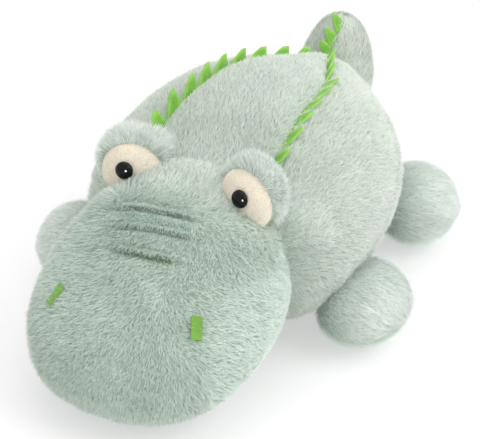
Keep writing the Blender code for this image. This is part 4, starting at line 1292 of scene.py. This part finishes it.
# A tooth narrows to a fifth of its width at the tip, and its cut edge is thinner and paler
TOOTH_TIP = 0.20
TOOTH_TAPER_POWER = 0.8
TOOTH_RAKE_POWER = 0.75
TOOTH_EDGE_POWER = 6
TOOTH_EDGE_THIN = 0.45
FELT_UNEVEN = 0.0012
BACK_TEETH = 9
TAIL_TEETH = 3
TAIL_TEETH_SHARES = (0.62, 0.985)
TAIL_TOOTH_HEIGHT = 0.0105
TAIL_TOOTH_WIDTH = 0.0165
TAIL_TOOTH_WAY = (-0.85, 0.10, 0.50)
TAIL_RAY_REACH = 0.08
# Pattern scales: 230 bends a piece in waves of about 4 mm, 1500 tangles the fibres at 0.7 mm, and
# 160 clouds the felt in patches of 6 mm
UNEVEN_SCALE = 230.0
FIBRE_SCALE = 1500.0
CLOUD_SCALE = 160.0
# Lean and height of the teeth at shares of the way back, on the left row and the right row
ROW_LEANS = {1: ((0, 0.70, 0.80, 1), (60, 52, 18, 8)), -1: ((0, 1), (22, 5))}
ROW_HEIGHTS = {1: ((0, 0.7, 1), (0.0125, 0.0115, 0.0115)), -1: ((0, 1), (0.0155, 0.0110))}


def tooth_mesh():
    """One felt tooth of unit size: a thick leaf with bowed sides, marked along its cut edge."""
    bm = bmesh.new()
    bmesh.ops.create_cube(bm, size=1)
    bmesh.ops.subdivide_edges(bm, edges=bm.edges, cuts=TOOTH_CUTS, use_grid_fill=True)
    edge = bm.verts.layers.float.new("cut_edge")
    for vert in bm.verts:
        across, thick, up = vert.co.x, vert.co.y, vert.co.z + 0.5
        vert[edge] = max(abs(2 * across) ** TOOTH_EDGE_POWER, up ** TOOTH_EDGE_POWER)
        narrow = TOOTH_TIP + (1 - TOOTH_TIP) * (1 - up) ** TOOTH_TAPER_POWER
        round_off = 1 - TOOTH_EDGE_THIN * vert[edge]
        raked = TOOTH_RAKE * (1 - (1 - up) ** TOOTH_RAKE_POWER)
        vert.co = (across * narrow + raked, thick * round_off, up)
    mesh = bpy.data.meshes.new("felt_tooth")
    bm.to_mesh(mesh)
    bm.free()
    mesh.shade_smooth()
    return mesh


def sewn_tree():
    """Geometry Nodes tree that sets one small piece at each place, turned and sized as it says."""
    tree = bpy.data.node_groups.new("sewn_pieces", "GeometryNodeTree")
    tree.interface.new_socket("Geometry", in_out="OUTPUT", socket_type="NodeSocketGeometry")
    for name, kind in (("Places", "Geometry"), ("Piece", "Object"), ("Uneven", "Float"),
                       ("Material", "Material")):
        tree.interface.new_socket(name, in_out="INPUT", socket_type="NodeSocket" + kind)
    given = tree.nodes.new("NodeGroupInput").outputs
    out_way, along_way, size = (
        add_node(tree, "GeometryNodeInputNamedAttribute", {"data_type": "FLOAT_VECTOR"},
                 {"Name": name}).outputs[0] for name in ("out_way", "along_way", "size"))
    piece = add_node(tree, "GeometryNodeObjectInfo", {}, {"Object": given["Piece"]})
    turn = add_node(tree, "FunctionNodeAxesToRotation", {
        "primary_axis": "Z", "secondary_axis": "X"}, {
        "Primary Axis": out_way, "Secondary Axis": along_way}).outputs[0]
    sewn = add_node(tree, "GeometryNodeInstanceOnPoints", {}, {
        "Points": given["Places"], "Instance": piece.outputs["Geometry"], "Rotation": turn,
        "Scale": size}).outputs[0]
    real = add_node(tree, "GeometryNodeRealizeInstances", {}, {"Geometry": sewn}).outputs[0]
    place = add_node(tree, "GeometryNodeInputPosition", {}, {}).outputs[0]
    cloud = add_node(tree, "ShaderNodeTexNoise", {}, {
        "Vector": place, "Scale": UNEVEN_SCALE, "Detail": 1.0})
    drift = add_node(tree, "ShaderNodeVectorMath", {"operation": "SUBTRACT"}, {
        0: cloud.outputs["Color"], 1: (0.5, 0.5, 0.5)}).outputs[0]
    shift = add_node(tree, "ShaderNodeVectorMath", {"operation": "SCALE"}, {
        0: drift, "Scale": given["Uneven"]}).outputs[0]
    real = add_node(tree, "GeometryNodeSetPosition", {}, {
        "Geometry": real, "Offset": shift}).outputs[0]
    real = add_node(tree, "GeometryNodeSetMaterial", {}, {
        "Geometry": real, "Material": given["Material"]}).outputs[0]
    add_node(tree, "NodeGroupOutput", {}, {"Geometry": real})
    return tree


SEWN = sewn_tree()


def sew(name, piece_mesh, places, uneven, material):
    """Plain mesh with one piece at each place: point, way along the seam, way out and size."""
    mesh = bpy.data.meshes.new(name + "_places")
    mesh.from_pydata([tuple(p[0]) for p in places], [], [])
    for key, column in (("along_way", 1), ("out_way", 2), ("size", 3)):
        values = np.array([tuple(p[column]) for p in places], float)
        mesh.attributes.new(key, "FLOAT_VECTOR", "POINT").data.foreach_set("vector", values.ravel())
    piece = put_object(name + "_piece", piece_mesh)
    item = put_object(name + "_places", mesh)
    sewer = item.modifiers.new("sewing", "NODES")
    sewer.node_group = SEWN
    sockets = {s.name: s.identifier for s in SEWN.interface.items_tree if s.in_out == "INPUT"}
    for key, value in (("Piece", piece), ("Uneven", uneven), ("Material", material)):
        sewer[sockets[key]] = value
    mesh = finished(item)
    drop(item)
    drop(piece)
    for extra in ("along_way", "out_way", "size"):
        if extra in mesh.attributes:
            mesh.attributes.remove(mesh.attributes[extra])
    mesh.shade_smooth()
    return put_object(name, mesh)


def felt_material(name, face, fibre):
    """Pressed felt: matt, with tangled fibres, small pale flecks and a paler cut edge."""
    material, tree, out = new_material(name)
    place = add_node(tree, "ShaderNodeTexCoord", {}, {}).outputs["Object"]
    tangle = add_node(tree, "ShaderNodeTexNoise", {}, {
        "Vector": place, "Scale": FIBRE_SCALE, "Detail": 4.0, "Roughness": 0.7,
        "Distortion": 1.5}).outputs["Fac"]
    patch = add_node(tree, "ShaderNodeTexNoise", {}, {
        "Vector": place, "Scale": CLOUD_SCALE}).outputs["Fac"]
    edge = add_node(tree, "ShaderNodeAttribute", {"attribute_name": "cut_edge"}, {}).outputs["Fac"]
    share = add_node(tree, "ShaderNodeMapRange", {}, {
        0: tangle, 1: 0.4, 2: 0.75, 3: 0.0, 4: 0.6}).outputs[0]
    share = add_node(tree, "ShaderNodeMath", {"operation": "MULTIPLY_ADD", "use_clamp": True}, {
        0: edge, 1: 0.8, 2: share}).outputs[0]
    colour = add_node(tree, "ShaderNodeMix", {"data_type": "RGBA"}, {
        0: share, 6: linear(face), 7: linear(fibre)}).outputs[2]
    bright = add_node(tree, "ShaderNodeMapRange", {}, {
        0: patch, 1: 0.3, 2: 0.7, 3: 0.9, 4: 1.1}).outputs[0]
    colour = add_node(tree, "ShaderNodeHueSaturation", {}, {
        "Value": bright, "Color": colour}).outputs[0]
    bump = add_node(tree, "ShaderNodeBump", {}, {
        "Strength": 0.6, "Distance": 0.0003, "Height": tangle}).outputs[0]
    shader = add_node(tree, "ShaderNodeBsdfPrincipled", {}, {
        "Base Color": colour, "Roughness": 0.95, "Sheen Weight": 0.2, "Normal": bump,
        "Specular IOR Level": 0.15})
    tree.links.new(shader.outputs[0], out.inputs["Surface"])
    return material


# Leaf green for the spikes, and the same felt painted darker for the nostrils: painted shade, for
# the shade the tabs lie in
green_felt = felt_material("leaf_green_felt", FELT_FACE, FELT_EDGE)
nostril_felt = felt_material("leaf_felt_painted_shade", NOSTRIL_FACE_PAINTED_SHADE, FELT_FACE)
tooth = tooth_mesh()
body_tree = surface_of(body_skin.data)
for side, label, half_span in ((1, "left", LEFT_SEAM_HALF_SPAN),
                               (-1, "right", RIGHT_SEAM_HALF_SPAN)):
    found = []
    for share in np.linspace(0, 1, 4 * BACK_TEETH + 1):
        x = side * half_span * float(smooth_values(BACK_SEAM_SHARES, share))
        y = BACK_SEAM_START_Y + (BACK_SEAM_END_Y - BACK_SEAM_START_Y) * share
        found.append(body_tree.ray_cast(Vector((x, y, DROP_FROM)), Vector((0, 0, -1)))[:2])
    places = []
    for k in range(BACK_TEETH):
        part = k / (BACK_TEETH - 1)
        middle = 4 * k + 2
        point = found[middle][0]
        along = (found[middle + 2][0] - found[middle - 2][0]).normalized()
        normal = sum((found[i][1] for i in range(middle - 2, middle + 3)), Vector()).normalized()
        lean = math.radians(np.interp(part, *ROW_LEANS[side]))
        outward = along.cross(normal).normalized() * side
        out_way = (normal * math.cos(lean) + outward * math.sin(lean)).normalized()
        tall = float(np.interp(part, *ROW_HEIGHTS[side])) + TOOTH_SUNK
        size = (TOOTH_WIDTH, TOOTH_THICKNESS, tall)
        places.append((point - out_way * TOOTH_SUNK, along, out_way, size))
    teeth = sew(f"felt_teeth_{label}", tooth, places, FELT_UNEVEN, green_felt)
    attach(teeth, "trunk")
    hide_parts(f"back_spikes_{label}")
    tab_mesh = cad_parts[f"nostril_tab_{label}"].data
    tab_mesh.materials.clear()
    tab_mesh.materials.append(nostril_felt)
tail_surface = surface_of(tail_skin.data)
first, last = TAIL_TEETH_SHARES
places = []
for k in range(TAIL_TEETH):
    share = first + (last - first) * (k + 0.5) / TAIL_TEETH
    centre, pitch = tail_path(share)
    up = Vector((0, -math.sin(pitch), math.cos(pitch)))
    along = Vector((0, math.cos(pitch), math.sin(pitch)))
    point, normal = tail_surface.ray_cast(centre + up * TAIL_RAY_REACH, -up)[:2]
    along = (along - normal * along.dot(normal)).normalized()
    aside, onward, outward = TAIL_TOOTH_WAY
    out_way = (Vector((aside, 0, 0)) + along * onward + normal * outward).normalized()
    size = (TAIL_TOOTH_WIDTH, TOOTH_THICKNESS, TAIL_TOOTH_HEIGHT + TOOTH_SUNK)
    places.append((point - out_way * TOOTH_SUNK, along, out_way, size))
teeth = sew("felt_teeth_tail", tooth, places, FELT_UNEVEN, green_felt)
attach(teeth, "tail")
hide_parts("tail_spikes")


# Embroidery thread
# A row of short stitches of dark green twisted thread, sewn through the third tuck.
THREAD_GREEN = "#33702A"
STITCH_ROW = ((-0.0145, -0.1401), (0.0205, -0.1367))
# Share of the row and length of each stitch
STITCHES = ((0.02, 0.0030), (0.13, 0.0036), (0.25, 0.0026), (0.40, 0.0034), (0.52, 0.0034),
            (0.64, 0.0040), (0.75, 0.0042), (0.87, 0.0044), (0.98, 0.0036))
STITCH_WIDTH = 0.0020
STITCH_LIFT = 0.0024
STITCH_UNEVEN = 0.0008
# Pattern scale: 900 gives bands of twist under half a millimetre wide
TWIST_SCALE = 900.0

# Twisted embroidery thread, dark green, with fine light and dark bands of twist and a dull shine
thread_green, tree, out = new_material("twisted_embroidery_thread")
place_node = add_node(tree, "ShaderNodeTexCoord", {}, {}).outputs["Object"]
twist = add_node(tree, "ShaderNodeTexWave", {}, {
    "Vector": place_node, "Scale": TWIST_SCALE}).outputs["Fac"]
bright = add_node(tree, "ShaderNodeMapRange", {}, {0: twist, 3: 0.75, 4: 1.15}).outputs[0]
colour = add_node(tree, "ShaderNodeHueSaturation", {}, {
    "Value": bright, "Color": linear(THREAD_GREEN)}).outputs[0]
shader = add_node(tree, "ShaderNodeBsdfPrincipled", {}, {"Base Color": colour, "Roughness": 0.55})
tree.links.new(shader.outputs[0], out.inputs["Surface"])
bm = bmesh.new()
bmesh.ops.create_uvsphere(bm, u_segments=8, v_segments=6, radius=0.5)
stitch = bpy.data.meshes.new("stitch")
bm.to_mesh(stitch)
bm.free()
(first_x, first_y), (last_x, last_y) = STITCH_ROW
places = []
for share, long in STITCHES:
    x, y = (np.interp(share, (0, 1), pair) for pair in zip(*STITCH_ROW))
    point, normal = plain_head_tree.ray_cast(Vector((x, y, DROP_FROM)), Vector((0, 0, -1)))[:2]
    along = Vector((last_x - first_x, last_y - first_y, 0)).normalized()
    along = (along - normal * along.dot(normal)).normalized()
    places.append((point + normal * STITCH_LIFT, along, normal, (long, STITCH_WIDTH, STITCH_WIDTH)))
stitches = sew("tuck_stitches", stitch, places, STITCH_UNEVEN, thread_green)
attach(stitches, "trunk")
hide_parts("tuck_thread")
